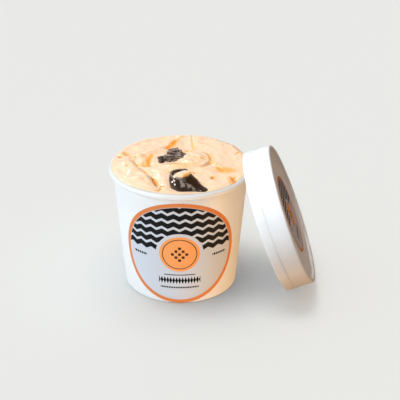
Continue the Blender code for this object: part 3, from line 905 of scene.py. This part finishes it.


# %% [markdown]
# ### Where syrup shows amber, and where amber shade is painted
# Caramel syrup runs through the gelato. Gaps, creases, pits and the faces under steps get painted amber
# shade, which stands in for the warm light that thin or folded gelato lets through. Both are painted as one
# amount on the points of the mesh, which the material turns into amber; gaps are painted a little wider than they are.

# %% Strokes and patches of syrup and of painted amber shade
# painted amber shade in the gaps along the fold and the other slots
GAP_SHADE_AMOUNTS = [0.85, 1.0, 1.0, 0.85, 0.95, 1.0, 0.8, 0.35]      # one amount for each of the slots
# syrup lines, and painted amber shade along creases, crests and the edges of steps
SYRUP_AND_SHADE_STROKES = [  # curve, width, amount
    ([(-25.9, 8.2), (-23.6, 6.0), (-21.4, 3.9)], 0.55, 0.7),
    ([(-31.2, 8.4), (-30.0, 7.4), (-28.8, 7.0)], 0.75, 1.0),
    ([(-28.8, 14.0), (-27.3, 11.7), (-26.0, 9.0)], 1.3, 0.62),
    ([(-14.2, 9.0), (-15.3, 3.4), (-15.4, -0.6), (-15.2, -4.4)], 0.95, 0.75),
    ([(-19.0, 1.6), (-17.6, -0.6), (-16.2, -1.4)], 0.9, 0.55),
    ([(-18.9, -1.6), (-17.4, -3.0), (-16.0, -3.9)], 0.6, 0.6),
    ([(-22.6, 4.6), (-22.4, 7.6), (-20.9, 10.9), (-17.9, 12.3), (-15.0, 14.3), (-12.3, 16.7), (-9.6, 17.8)], 0.5, 0.3),
    ([(-10.6, 20.4), (-8.8, 18.0), (-7.6, 14.8)], 0.5, 0.55),
    ([(-1.9, 25.6), (-1.6, 28.6), (-0.2, 30.2), (3.6, 30.4)], 0.45, 0.5),
    ([(4.9, 30.6), (5.3, 25.0), (5.7, 18.0), (6.1, 12.6)], 0.6, 0.5),
    ([(1.2, 14.0), (3.8, 13.6), (6.4, 13.0)], 0.6, 0.62),
    ([(10.6, 32.0), (11.4, 31.0), (12.2, 29.8)], 0.55, 0.9),
    ([(24.6, 19.8), (27.0, 16.8), (29.4, 13.2)], 0.35, 0.75),
    ([(29.1, 13.2), (28.2, 11.6), (26.8, 9.8)], 0.4, 0.8),
    ([(20.9, 21.4), (20.8, 20.0), (20.6, 18.2)], 0.35, 0.5),
    ([(17.2, 25.8), (18.0, 24.8), (18.8, 23.8)], 0.4, 0.45),
    ([(9.2, 12.2), (11.6, 10.9), (13.6, 7.4), (14.4, 2.6), (15.0, -0.6)], 0.6, 0.62),
    ([(12.0, 11.2), (14.4, 7.6), (15.2, 3.0), (15.6, 0.0)], 1.5, 0.25),
    ([(14.6, -0.6), (15.6, 0.2), (16.8, -0.9), (18.0, -2.8)], 0.45, 0.6),
    ([(17.2, -3.0), (18.6, -5.6), (20.2, -8.2)], 0.9, 0.6),
    ([(5.4, -10.4), (7.0, -10.9), (8.6, -11.3)], 0.7, 0.75),
    ([(-6.2, -10.5), (-5.0, -10.2), (-3.6, -10.0)], 0.45, 0.5),
    ([(25.6, -13.8), (25.3, -17.2), (26.2, -21.9)], 0.95, 1.0),
    ([(23.2, -12.6), (23.8, -18.0), (24.8, -23.6)], 1.2, 0.5),
    ([(-3.5, -9.4), (0.5, -9.4), (4.0, -9.6)], 0.9, 0.45),
]
# syrup patches, and painted amber shade in pits, on the faces under steps and round the lumps
SYRUP_AND_SHADE_PATCHES = [  # middle, half sizes, turn, amount
    ((21.4, -7.0), (4.4, 3.0), -4.0, 0.66),
    ((24.4, -7.4), (2.6, 2.4), 10.0, 0.3),
    ((15.6, -15.5), (1.45, 1.3), 0.0, 0.95),
    ((10.9, 3.3), (1.5, 1.6), 0.0, 0.38),
    ((-25.4, -5.0), (1.7, 1.9), 0.0, 0.34),
    ((-17.2, 5.0), (2.2, 3.0), 20.0, 0.35),
    ((-15.6, -2.6), (1.6, 1.4), 0.0, 0.6),
    ((-16.4, 1.8), (1.1, 1.8), 10.0, 0.5),
    ((-18.6, -1.9), (1.3, 0.8), -20.0, 0.65),
    ((-14.6, 5.6), (0.8, 1.4), 0.0, 0.5),
    ((0.0, -4.5), (7.0, 4.0), 0.0, 0.30),
    ((6.0, 2.0), (7.0, 6.0), 0.0, 0.14),
    ((-27.0, 10.6), (2.4, 2.6), 35.0, 0.30),
    ((-14.0, -24.6), (1.2, 2.2), 20.0, 0.22),
    ((-16.4, -21.2), (1.0, 2.2), 30.0, 0.18),
    ((8.0, 31.0), (3.0, 1.4), -8.0, 0.18),
]


SYRUP_STROKES = [  # bright syrup that lies in sight: curve, width, amount
    ([(-1.9, 29.4), (-4.3, 22.4), (-7.2, 14.6)], 1.7, 1.0),
    ([(-31.2, 8.4), (-30.0, 7.4), (-28.8, 7.0)], 0.8, 0.9),
    ([(-14.2, 9.0), (-15.3, 3.4), (-15.4, -0.6)], 0.8, 0.6),
    ([(29.1, 13.2), (28.2, 11.6), (26.8, 9.8)], 0.4, 0.7),
    ([(17.4, -3.4), (18.6, -5.6), (20.0, -7.8)], 0.8, 0.4),
]


def gelato_syrup_and_shade(x, y):
    """How much syrup and painted amber shade the gelato shows at a place, from 0 to 1."""
    plain = np.ones(x.shape)
    ragged = 1.0 + 0.35 * cloud(x, y, 1.6, 7.0) + 0.2 * cloud(x, y, 0.7, 8.0)
    # the slots get painted amber shade
    for (curve, width, _), amount in zip(SLOTS, GAP_SHADE_AMOUNTS):
        plain *= 1.0 - amount * np.clip(gap(x, y, curve, width) * ragged, 0.0, 1.0)
    for curve, width, amount in SYRUP_AND_SHADE_STROKES:
        plain *= 1.0 - amount * np.clip(stroke(x, y, curve, width) * ragged, 0.0, 1.0)
    for middle, size, turn, amount in SYRUP_AND_SHADE_PATCHES:
        plain *= 1.0 - amount * np.clip(swell(x, y, middle, size, turn) * ragged, 0.0, 1.0)
    return 1.0 - plain


def gelato_syrup(x, y):
    """How much bright syrup shows at a place, from 0 to 1."""
    ragged = 1.0 + 0.5 * cloud(x, y, 1.9, 9.0)
    covers = [amount * stroke(x, y, curve, width) for curve, width, amount in SYRUP_STROKES]
    return np.clip(1.9 * np.max(covers, axis=0) * ragged - 0.1, 0.0, 1.0)


# %% [markdown]
# ### The mesh
# One flat grid becomes the whole body of gelato: its columns run round the cup, and its rows start
# under the middle, go up inside the wall, over the bead as a thin smeared lip, and then inwards over the
# worked top to its middle. The first and last rows shrink to a point, and merging doubles closes them and
# the seam.

# %% Build the gelato from one grid
GELATO_TURNS = 420
TOP_ROWS = 118
LAP_ROWS = 12
SIDE_ROWS = 6
LAP_FRONT = 66.0                    # degrees round the bead, from the bead's inside
LAP_LEFT = 102.0
LAP_BACK = 116.0
LIP_FRONT = 0.16                    # thickness of the edge, in millimetres
LIP_BACK = 0.75


def lap_and_lip(azimuth):
    """How far round the bead the gelato reaches, in degrees, and how thick its edge is."""
    toward_back = ease(0.0, 0.8, np.sin(azimuth) + 0.1 * np.cos(azimuth))
    toward_left = ease(0.2, 0.95, -np.cos(azimuth))
    ragged = cloud(14.0 * np.cos(azimuth), 14.0 * np.sin(azimuth), 1.3, 4.0)
    ragged += 0.6 * cloud(14.0 * np.cos(azimuth), 14.0 * np.sin(azimuth), 0.45, 5.0)
    beside_back = LAP_FRONT + (LAP_LEFT - LAP_FRONT) * toward_left
    lap = beside_back + (LAP_BACK - beside_back) * toward_back + (3.0 + 14.0 * toward_back) * ragged
    lip = LIP_FRONT + (LIP_BACK - LIP_FRONT) * toward_back + (0.02 + 0.22 * toward_back) * ragged
    return lap, lip


def beside_bead(lap, azimuth, lift):
    """Points beside the bead, in millimetres, lifted off it."""
    out = BEAD_RADIUS / MM + lift
    reach = BEAD_CENTRE / MM - out * np.cos(np.radians(lap))
    level = (BEAD_LEVEL - BRIM) / MM + out * np.sin(np.radians(lap))
    return reach * np.cos(azimuth), reach * np.sin(azimuth), level


def lay_gelato(places):
    """Bend the flat grid into the body of gelato; returns places in millimetres above the brim."""
    columns = GELATO_TURNS + 1
    turn = (places[:columns, 0] + 0.5) * math.tau
    lap, lip = lap_and_lip(turn)
    floor = (BASE_LEVEL - BRIM) / MM + 0.45
    rows = []

    def wall_row(level, part):
        reach = part * (wall_radius((level * MM) + BRIM) / MM - 0.56)
        rows.append((reach * np.cos(turn), reach * np.sin(turn), np.full(columns, level)))

    wall_row(floor, 0.0)
    wall_row(floor, 0.5)
    for level in np.linspace(floor, (WALL_TOP - BRIM) / MM - 0.3, SIDE_ROWS - 2):
        wall_row(level, 1.0)
    for part in np.linspace(0.0, 1.0, LAP_ROWS):
        rows.append(beside_bead(lap * part, turn, 0.02))
    edge_x, edge_y, edge_level = beside_bead(lap, turn, 0.02)
    for part in (0.35, 0.75):
        lip_x, lip_y, lip_level = beside_bead(lap - 2.0 * part, turn, 0.02 + lip * part)
        rows.append((lip_x, lip_y, lip_level))
    lip_x, lip_y, lip_level = beside_bead(lap - 3.0, turn, lip)
    rim = np.hypot(lip_x, lip_y)
    for row in range(TOP_ROWS):
        part = 1.0 - row / (TOP_ROWS - 1)
        part = part ** 0.96
        x = lip_x * part
        y = lip_y * part
        inwards = rim * (1.0 - part)
        settled = ease(0.0, 3.2, inwards)
        draped = lip_level + 0.25 * np.sqrt(np.clip(inwards, 0.0, 1.5)) * (0.3 + lip)
        rows.append((x, y, draped * (1.0 - settled) + gelato_height(x, y) * settled))
    print(f"gelato grid has {len(rows)} rows of {columns}")
    return np.concatenate([np.column_stack(row) for row in rows])


GELATO_ROWS = SIDE_ROWS + LAP_ROWS + 2 + TOP_ROWS
bpy.ops.mesh.primitive_grid_add(x_subdivisions=GELATO_TURNS, y_subdivisions=GELATO_ROWS - 1, size=1.0)
gelato = added("gelato_scoop")
move_points(gelato, lay_gelato)
places = np.empty(len(gelato.data.vertices) * 3)
gelato.data.vertices.foreach_get("co", places)
x, y, level = places.reshape(-1, 3).T
# amber: syrup, and painted amber shade in gaps, creases and pits
amber = gelato_syrup_and_shade(x, y) * ease(-2.5, -0.6, level)
# hollow: how far a point lies below the surface round it, where the material paints warm shade
around = [gelato_height(x + 1.3 * math.cos(turn), y + 1.3 * math.sin(turn)) for turn in np.arange(6) * math.tau / 6]
hollow = np.clip(np.mean(around, axis=0) - level, -1.0, 1.0) * ease(33.0, 30.0, np.hypot(x, y))
syrup = gelato_syrup(x, y) * ease(-2.5, -0.6, level)
for name, values in (("amber", amber), ("hollow", hollow), ("syrup", syrup)):
    layer = gelato.data.attributes.new(name, "FLOAT", "POINT")
    layer.data.foreach_set("value", values.astype(np.float32))
places = np.column_stack((x * MM, y * MM, level * MM + BRIM))
gelato.data.vertices.foreach_set("co", places.ravel())
face_outwards(gelato)
smooth(gelato, 180)
put_on_cup(gelato)

# %% [markdown]
# ### Finish of the gelato
# Gelato is dense and moist: light goes a little way in and comes out warmer, which the shader's
# subsurface does, and its skin has small wet glints. Amber places carry syrup and painted amber shade,
# and hollow places are painted a warmer, darker colour as painted shade.

# %% Gelato material
cream = Recipe("gelato_cream")
amount = cream.attribute("amber")
depth = cream.attribute("hollow")
blotch = cream.noise(160.0, 3.0)
pale = cream.mix(blotch, (1.0, 0.69, 0.455), (1.0, 0.73, 0.52))
# painted warm shade in hollows, stronger the lower a point lies below its neighbours
hollow_shaded = cream.mix(cream.step(-0.05, 0.6, depth), pale, (1.0, 0.53, 0.22))
# amber colour for syrup and for the painted amber shade in gaps, creases and pits
colour = cream.mix(cream.step(0.0, 0.5, amount), hollow_shaded, (1.0, 0.53, 0.17))
colour = cream.mix(cream.step(0.35, 1.0, amount), colour, (0.84, 0.30, 0.03))
# painted dark shade where a hollow is deep and amber
colour = cream.mix(cream.step(0.45, 1.0, depth) * cream.step(0.3, 0.8, amount), colour, (0.50, 0.15, 0.02))
colour = cream.mix(cream.attribute("syrup"), colour, (1.0, 0.38, 0.012))
cream.feed("Base Color", colour)
wet = cream.noise(420.0, 3.0)
cream.feed("Roughness", 0.34 + 0.16 * wet)
cream.bump(cream.noise(700.0, 4.0, 0.6), 0.05 * MM, 0.35)
cream.constant(Subsurface_Weight=0.35, Subsurface_Radius=(0.9, 0.42, 0.18), Subsurface_Scale=0.0016, IOR=1.38)
cream.constant(Coat_Weight=0.6, Coat_Roughness=0.10)
paint(gelato, cream)
keep(gelato, "gelato_cream", "gelato")

# %% [markdown]
# ## Chocolate lumps
# The lumps are broken pieces of rolled wafer under a coat of chocolate. A coat that was once liquid
# runs one form into the next, so each lump is roughed out from a few overlapping primitives, and a
# voxel remesh melts them into one skin, as a sculptor would. Noise along the normals then makes the
# coat uneven, and a broken face rougher than a coated one.

# %% Helpers for lumps
VOXEL = 0.22 * MM


def cup_place(x, y, level):
    """A place given in millimetres from the cup's axis and above its brim."""
    return (CUP_X + x * MM, CUP_Y + y * MM, BRIM + level * MM)


def blob(at, half, turn=0.0, tip=0.0):
    """A ball squeezed to half sizes in millimetres, turned about Z and tipped about its own X or Y."""
    bpy.ops.mesh.primitive_uv_sphere_add(segments=32, ring_count=20, radius=1.0, location=cup_place(*at))
    piece = added("blob")
    piece.scale = [size * MM for size in half]
    piece.rotation_euler = (0.0, math.radians(tip), math.radians(turn))
    apply_place(piece)
    return piece


def block(at, half, turn=0.0, tip=0.0, bevel=0.5):
    """A box with bevelled edges, in the same terms."""
    bpy.ops.mesh.primitive_cube_add(size=2.0, location=cup_place(*at))
    piece = added("block")
    piece.scale = [size * MM for size in half]
    piece.rotation_euler = (0.0, math.radians(tip), math.radians(turn))
    apply_place(piece)
    apply_modifier(piece, "BEVEL", width=bevel * MM, segments=3)
    return piece


def melt(name, parts, voxel=VOXEL):
    """Join overlapping parts, if there are several, and remesh them into one skin."""
    bpy.ops.object.select_all(action="DESELECT")
    for part in parts:
        part.select_set(True)
    bpy.context.view_layer.objects.active = parts[0]
    bpy.ops.object.join()
    piece = parts[0]
    piece.name = name
    piece.data.name = name
    piece.data.remesh_voxel_size = voxel
    alone(piece)
    bpy.ops.object.voxel_remesh()
    apply_modifier(piece, "SMOOTH", factor=0.5, iterations=3)
    return piece


def roughen(piece, layers, seed):
    """Push points along their normals by layers of noise, each (lump size, depth) in millimetres."""
    normals = [vertex.normal.copy() for vertex in piece.data.vertices]
    for vertex, normal in zip(piece.data.vertices, normals):
        place = vertex.co / MM
        push = sum(depth * noise.noise(place / size + Vector((seed, 0, 0))) for size, depth in layers)
        vertex.co += normal * push * MM
    piece.data.update()


# %% [markdown]
# ### The front lump
# It is the end of a roll that stands a little askew: a drum, wider at its foot, whose top is a thick ring
# of coating round a hollow. From its right side a broken flap of the coat slopes down to the rim.

# %% Model the coated stub
STUB_FOOT = (3.0, -23.9, -2.4)
STUB_TOP = (0.7, -22.4, 5.9)
STUB_ROUTE = [  # radius and height as a part of the way up
    (5.8, 0.0), (6.7, 0.07), (7.0, 0.16), (7.1, 0.25), (7.1, 0.32), (7.05, 0.39), (7.0, 0.46), (6.85, 0.54),
    (6.6, 0.64), (6.3, 0.72), (6.0, 0.80), (5.5, 0.91), (5.1, 0.975),
    (4.8, 1.0), (4.5, 0.985), (4.3, 0.955), (4.1, 0.925), (3.9, 0.91)]


def lean_stub(places):
    """Lean a drum that was made upright, in millimetres round Z with heights from 0 to 1."""
    part = places[:, 2]
    turn = np.arctan2(places[:, 1], places[:, 0])
    uneven = 1.0 + 0.022 * np.sin(3 * turn + 4.0 * part) + 0.008 * np.sin(7 * turn + 1.0)
    drawn_in = 1.0 - 0.13 * ease(0.6, 1.0, part) * ease(0.0, 1.0, np.cos(turn))
    above = np.clip((STUB_TOP[2] - STUB_FOOT[2]) * part + STUB_FOOT[2] - 0.2, 0.0, 9.0)
    flap = np.exp(-above / 1.25) * (0.6 * ease(0.4, 1.0, np.cos(turn + 0.45)) + 4.4 * ease(0.80, 1.0, np.cos(turn + 0.50)))
    x = STUB_FOOT[0] + (STUB_TOP[0] - STUB_FOOT[0]) * part + places[:, 0] * uneven * drawn_in + 0.88 * flap
    y = STUB_FOOT[1] + (STUB_TOP[1] - STUB_FOOT[1]) * part + places[:, 1] * uneven - 0.48 * flap
    tilt = 0.02 * places[:, 0] * part - 0.04 * places[:, 1] * part + 0.25 * np.sin(4 * turn) * part
    level = STUB_FOOT[2] + (STUB_TOP[2] - STUB_FOOT[2]) * part - tilt
    return np.column_stack((CUP_X + x * MM, CUP_Y + y * MM, BRIM + level * MM))


bpy.ops.mesh.primitive_circle_add(vertices=72, radius=STUB_ROUTE[0][0], fill_type="NGON")
drum = added("drum")
edit(drum, "EDGE")
bpy.ops.mesh.select_all(action="SELECT")
run_loop(STUB_ROUTE)
bpy.ops.mesh.edge_face_add()
done()
move_points(drum, lean_stub)
face_outwards(drum)
stub = melt("coated_stub", [drum])
apply_modifier(stub, "SMOOTH", factor=0.5, iterations=3)
roughen(stub, [(3.4, 0.30), (1.3, 0.09)], seed=3.0)
smooth(stub, 180)
print("stub has", len(stub.data.polygons), "faces")

# %% [markdown]
# ### The back lump
# A flat piece, broken from the side of a roll: a shelf in front, a second layer behind it, a
# round bead of coating at the left and a few short stumps under its front edge.

# %% Model the broken slab
slab_parts = [
    block((-3.2, 5.9, 0.7), (5.3, 2.5, 1.2), turn=4.0, bevel=0.3),
    block((-3.3, 9.4, 1.8), (3.5, 2.2, 1.2), turn=-6.0, tip=3.0, bevel=0.35),
    block((-3.6, 10.6, 2.6), (2.3, 1.6, 0.8), turn=10.0, tip=-5.0, bevel=0.35),
    block((-2.7, 6.3, 1.95), (4.5, 1.5, 0.35), turn=3.0, tip=2.0, bevel=0.2),
    block((0.9, 7.0, 1.4), (1.8, 2.2, 0.9), turn=-28.0, tip=16.0, bevel=0.3),
    block((-8.6, 4.6, 0.9), (2.3, 1.9, 0.8), turn=10.0, tip=-3.0, bevel=0.3),
    blob((-9.3, 1.5, 0.9), (1.65, 1.7, 1.5)),
    blob((-10.0, 4.1, 1.6), (1.5, 0.9, 0.6), turn=8.0),
    block((-5.9, 2.8, 0.4), (1.2, 0.9, 0.9), turn=-8.0, bevel=0.3),
    block((-2.6, 3.1, 0.4), (1.2, 0.9, 0.9), turn=10.0, bevel=0.3),
    block((0.7, 4.2, 0.5), (1.0, 1.2, 0.9), turn=24.0, bevel=0.3),
]
slab = melt("broken_slab", slab_parts)


roughen(slab, [(2.6, 0.40), (0.9, 0.15)], seed=11.0)
smooth(slab, 60)
print("slab has", len(slab.data.polygons), "faces")

# %% [markdown]
# ### Finish of the chocolate
# Coating chocolate is nearly black and glossy, and browner where it is thin. A broken face is
# paler, greyish and rough. The two lumps share one recipe, and an attribute says where the skin is
# broken and lit: the pale colour goes only on edges that face up and stand out, so it is partly
# painted light, and hollows keep the dark coat as painted shade.

# %% Chocolate materials
def chocolate_finish(name, dark, broken_lit_colour, gloss, wet=0.35):
    recipe = Recipe(name)
    broken_and_lit = recipe.attribute("broken")
    streak = recipe.noise(380.0, 5.0, 0.65)
    patchy = recipe.step(0.38, 0.62, streak)
    coat = recipe.mix(patchy, dark, tuple(1.5 * value for value in dark))
    face = recipe.mix(patchy, tuple(0.40 * value for value in broken_lit_colour), broken_lit_colour)
    # the pale broken colour goes where the skin is marked broken and lit, partly painted light
    recipe.feed("Base Color", recipe.mix(broken_and_lit, coat, face))
    recipe.feed("Roughness", gloss + 0.14 * streak + 0.30 * broken_and_lit)
    recipe.bump(recipe.noise(900.0, 3.0, 0.5) * (0.25 + broken_and_lit), 0.06 * MM, 0.5)
    recipe.constant(IOR=1.5, Specular_Tint=(1.0, 0.84, 0.72), Coat_Weight=wet, Coat_Roughness=0.09)
    return recipe


def stands_out(piece, rounds=8):
    """How far each point stands out from the points around it, in millimetres."""
    mesh = piece.data
    places = np.empty(len(mesh.vertices) * 3)
    normals = np.empty(len(mesh.vertices) * 3)
    ends = np.empty(len(mesh.edges) * 2, dtype=np.int64)
    mesh.vertices.foreach_get("co", places)
    mesh.vertices.foreach_get("normal", normals)
    mesh.edges.foreach_get("vertices", ends)
    places = places.reshape(-1, 3) / MM
    first, second = ends.reshape(-1, 2).T
    both = np.concatenate((first, second))
    across = np.concatenate((second, first))
    count = np.bincount(both, minlength=len(places))[:, None]
    evened = places
    for _ in range(rounds):
        total = [np.bincount(both, weights=column[across], minlength=len(places)) for column in evened.T]
        evened = np.column_stack(total) / count
    return ((places - evened) * normals.reshape(-1, 3)).sum(axis=1)


def mark_broken_and_lit(piece, rule):
    """Store on each point how broken and lit the skin is, from 0 to 1; the pale colour it brings is partly painted
    light.
    """
    layer = piece.data.attributes.new("broken", "FLOAT", "POINT")
    middle = Vector(cup_place(0, 0, 0)) / MM
    for vertex, value, out in zip(piece.data.vertices, layer.data, stands_out(piece)):
        value.value = min(1.0, max(0.0, float(rule(vertex.co / MM - middle, vertex.normal, out))))


stub_chocolate = chocolate_finish("stub_chocolate", (0.019, 0.0075, 0.0035), (0.36, 0.29, 0.23), 0.13)
slab_chocolate = chocolate_finish("slab_chocolate", (0.016, 0.008, 0.005), (0.40, 0.30, 0.24), 0.34, 0.12)


def stub_broken_and_lit(place, normal, out):
    """The broken edge of the roll is its top ring, on the left and in front; it is pale only where it faces up and
    stands out, which is partly a painted highlight.
    """
    ring = ease(4.8, 5.2, place.z) * ease(0.35, 0.75, normal.z) * ease(-0.01, 0.05, out)
    return 0.9 * ring * ease(3.5, 0.5, place.x)


def slab_broken_and_lit(place, normal, out):
    """Broken edges that stand out and face up are pale as painted light, and hollows stay dark as painted shade; the
    left end is coated.
    """
    return ease(-0.08, 0.10, out) * ease(0.0, 0.75, normal.z) * ease(-9.0, -7.4, place.x)


mark_broken_and_lit(stub, stub_broken_and_lit)
mark_broken_and_lit(slab, slab_broken_and_lit)
paint(stub, stub_chocolate)
paint(slab, slab_chocolate)
keep(stub, "stub_chocolate", "chocolate_front")
keep(slab, "slab_chocolate", "chocolate_back")

# %% [markdown]
# ### Cream on top of the stub
# Gelato is smeared into the hollow of the roll, with a little syrup along its right edge.

# %% Model the smear in the stub's hollow
smear = melt("cream_on_stub", [
    blob((1.2, -23.1, 5.5), (5.0, 3.0, 0.75), turn=41.0),
    blob((3.0, -21.2, 5.5), (2.5, 2.3, 0.75), turn=30.0),
    blob((-1.3, -25.3, 5.6), (1.9, 1.6, 0.65), turn=40.0),
])
roughen(smear, [(2.4, 0.16)], seed=21.0)
layer = smear.data.attributes.new("amber", "FLOAT", "POINT")
smear.data.attributes.new("hollow", "FLOAT", "POINT")
smear.data.attributes.new("syrup", "FLOAT", "POINT")
for vertex, value in zip(smear.data.vertices, smear.data.attributes["amber"].data):
    place = vertex.co / MM - Vector(cup_place(0, 0, 0)) / MM
    right_edge = ease(0.5, 1.7, 0.66 * (place.x - 1.2) - 0.75 * (place.y + 23.3)) * ease(0.8, 2.4, place.x)
    value.value = 0.7 * float(right_edge)
smooth(smear, 180)
paint(smear, cream)
keep(smear, "gelato_cream")

# %% [markdown]
# ## Floor and light
# The set stands on a plain pale sweep. The light is a product shot's: one broad, high light from the
# left, a cool white room all round except on the right, and a low warm light that reaches only the
# card, from the right and below. The floor throws back less than it shows, and less on the right, as
# if black flags lay beside the set, so that the shaded sides of the card stay dim and warm.

# %% Lay the floor
bpy.ops.mesh.primitive_plane_add(size=8.0, location=(0, 0, 0))
floor = added("studio_floor")
floor_paper = Recipe("floor_paper")
sideways = floor_paper.node("ShaderNodeSeparateXYZ", None, {0: floor_paper.place()})
thrown_back = floor_paper.mix(floor_paper.step(CUP_X, CUP_X + 0.05, sideways), (0.90, 0.93, 0.96), (0.32, 0.23, 0.18))
camera_ray = floor_paper.node("ShaderNodeLightPath", output=0)
floor_paper.feed("Base Color", floor_paper.mix(camera_ray, thrown_back, (0.800, 0.815, 0.800)))
floor_paper.constant(Roughness=0.9, Specular_IOR_Level=0.1)
paint(floor, floor_paper)

# %% Light the set
def aim(light, way):
    light.rotation_euler = way.to_track_quat("Z", "Y").to_euler()


def group_of(name, pieces):
    group = bpy.data.collections.new(name)
    for piece in pieces:
        group.objects.link(piece)
    return group


def soft_sun(name, azimuth, elevation, angle, energy, colour, lit=None, shaded_by=None, bounces=16):
    """Even light from a direction; lit lists the only pieces it reaches, shaded_by what stops it."""
    data = bpy.data.lights.new(name, "SUN")
    data.energy = energy
    data.cycles.max_bounces = bounces
    data.angle = math.radians(angle)
    data.color = colour
    light = bpy.data.objects.new(name, data)
    bpy.context.scene.collection.objects.link(light)
    level = math.cos(math.radians(elevation))
    turn = math.radians(azimuth)
    aim(light, Vector((level * math.cos(turn), level * math.sin(turn), math.sin(math.radians(elevation)))))
    if lit:
        light.light_linking.receiver_collection = group_of(name + "_lit", lit)
    if shaded_by:
        light.light_linking.blocker_collection = group_of(name + "_shade", shaded_by)


def softbox(name, place, size, power, colour, target, lit, glints_only=False):
    """A rectangular light, unseen by the camera, that only the listed pieces receive and stop."""
    data = bpy.data.lights.new(name, "AREA")
    data.cycles.max_bounces = 0
    data.shape = "RECTANGLE"
    data.size, data.size_y = size
    data.energy = power
    data.color = colour
    light = bpy.data.objects.new(name, data)
    bpy.context.scene.collection.objects.link(light)
    light.location = place
    aim(light, Vector(place) - Vector(target))
    light.visible_camera = False
    light.visible_diffuse = not glints_only
    light.light_linking.receiver_collection = group_of(name + "_lit", lit)
    light.light_linking.blocker_collection = group_of(name + "_shade", lit)


COOL = (0.86, 0.95, 1.0)
WARM = (1.0, 0.55, 0.17)
card_pieces = [wall, seam, base, label, lid, lid_label]
food_pieces = [gelato, smear, stub, slab]
soft_sun("key_card", 182, 77, 24, 0.95, (0.98, 0.99, 1.0), lit=card_pieces)
soft_sun("key_food", 182, 77, 24, 1.66, (1.0, 0.99, 0.98), lit=food_pieces)
soft_sun("key_floor", 182, 77, 24, 0.74, (0.98, 0.99, 1.0), lit=[floor])
soft_sun("overhead", 180, 86, 60, 1.38, (0.98, 0.99, 1.0), lit=[floor], shaded_by=[wall, base])
soft_sun("window_cup", 222, 33, 34, 1.72, COOL, lit=[wall, seam, base, label], bounces=0)
soft_sun("window_lid", 208, 45, 34, 2.45, COOL, lit=[lid, lid_label], bounces=0)
soft_sun("window_food", 160, 40, 26, 1.45, (1.0, 1.0, 1.0), lit=food_pieces)
softbox("warm_right", (CUP_X + 0.21, CUP_Y - 0.12, -0.07), (0.10, 0.10), 0.40, WARM,
        target=(CUP_X, CUP_Y, 0.03), lit=[wall, seam, label])
softbox("warm_under_lid", (0.04, -0.08, -0.18), (0.18, 0.10), 0.17, WARM, target=(0.05, 0.0, 0.0), lit=[lid])
softbox("glint_box", (-0.30, 0.80, 0.72), (0.08, 0.08), 1.3, (1.0, 1.0, 1.0), target=(CUP_X, CUP_Y, BRIM),
        lit=food_pieces, glints_only=True)
softbox("side_window", (-0.62, -0.16, 0.20), (0.12, 0.12), 3.0, (1.0, 1.0, 1.0),
        target=(CUP_X, CUP_Y, BRIM), lit=[stub, slab], glints_only=True)
softbox("front_window", (0.10, -0.64, 0.54), (0.40, 0.26), 1.7, (1.0, 0.90, 0.84),
        target=(CUP_X, CUP_Y, BRIM), lit=food_pieces, glints_only=True)

room = bpy.data.worlds.new("room")
bpy.context.scene.world = room
room.use_nodes = True
tree = room.node_tree
background = tree.nodes["Background"]


class Room(Recipe):
    """The same sums for the room's light as for a material."""

    def __init__(self, tree):
        self.tree = tree


room_recipe = Room(tree)
way = room_recipe.node("ShaderNodeSeparateXYZ", None, {0: room_recipe.node("ShaderNodeTexCoord", output=0)})
dim_side = room_recipe.step(0.0, 0.6, way)
light_colour = room_recipe.mix(dim_side, (0.40, 0.42, 0.44), (0.32, 0.205, 0.115))
tree.links.new(light_colour.socket, background.inputs["Color"])
background.inputs["Strength"].default_value = 1.0
bpy.context.scene.view_settings.view_transform = "Standard"
print("key light and room set")
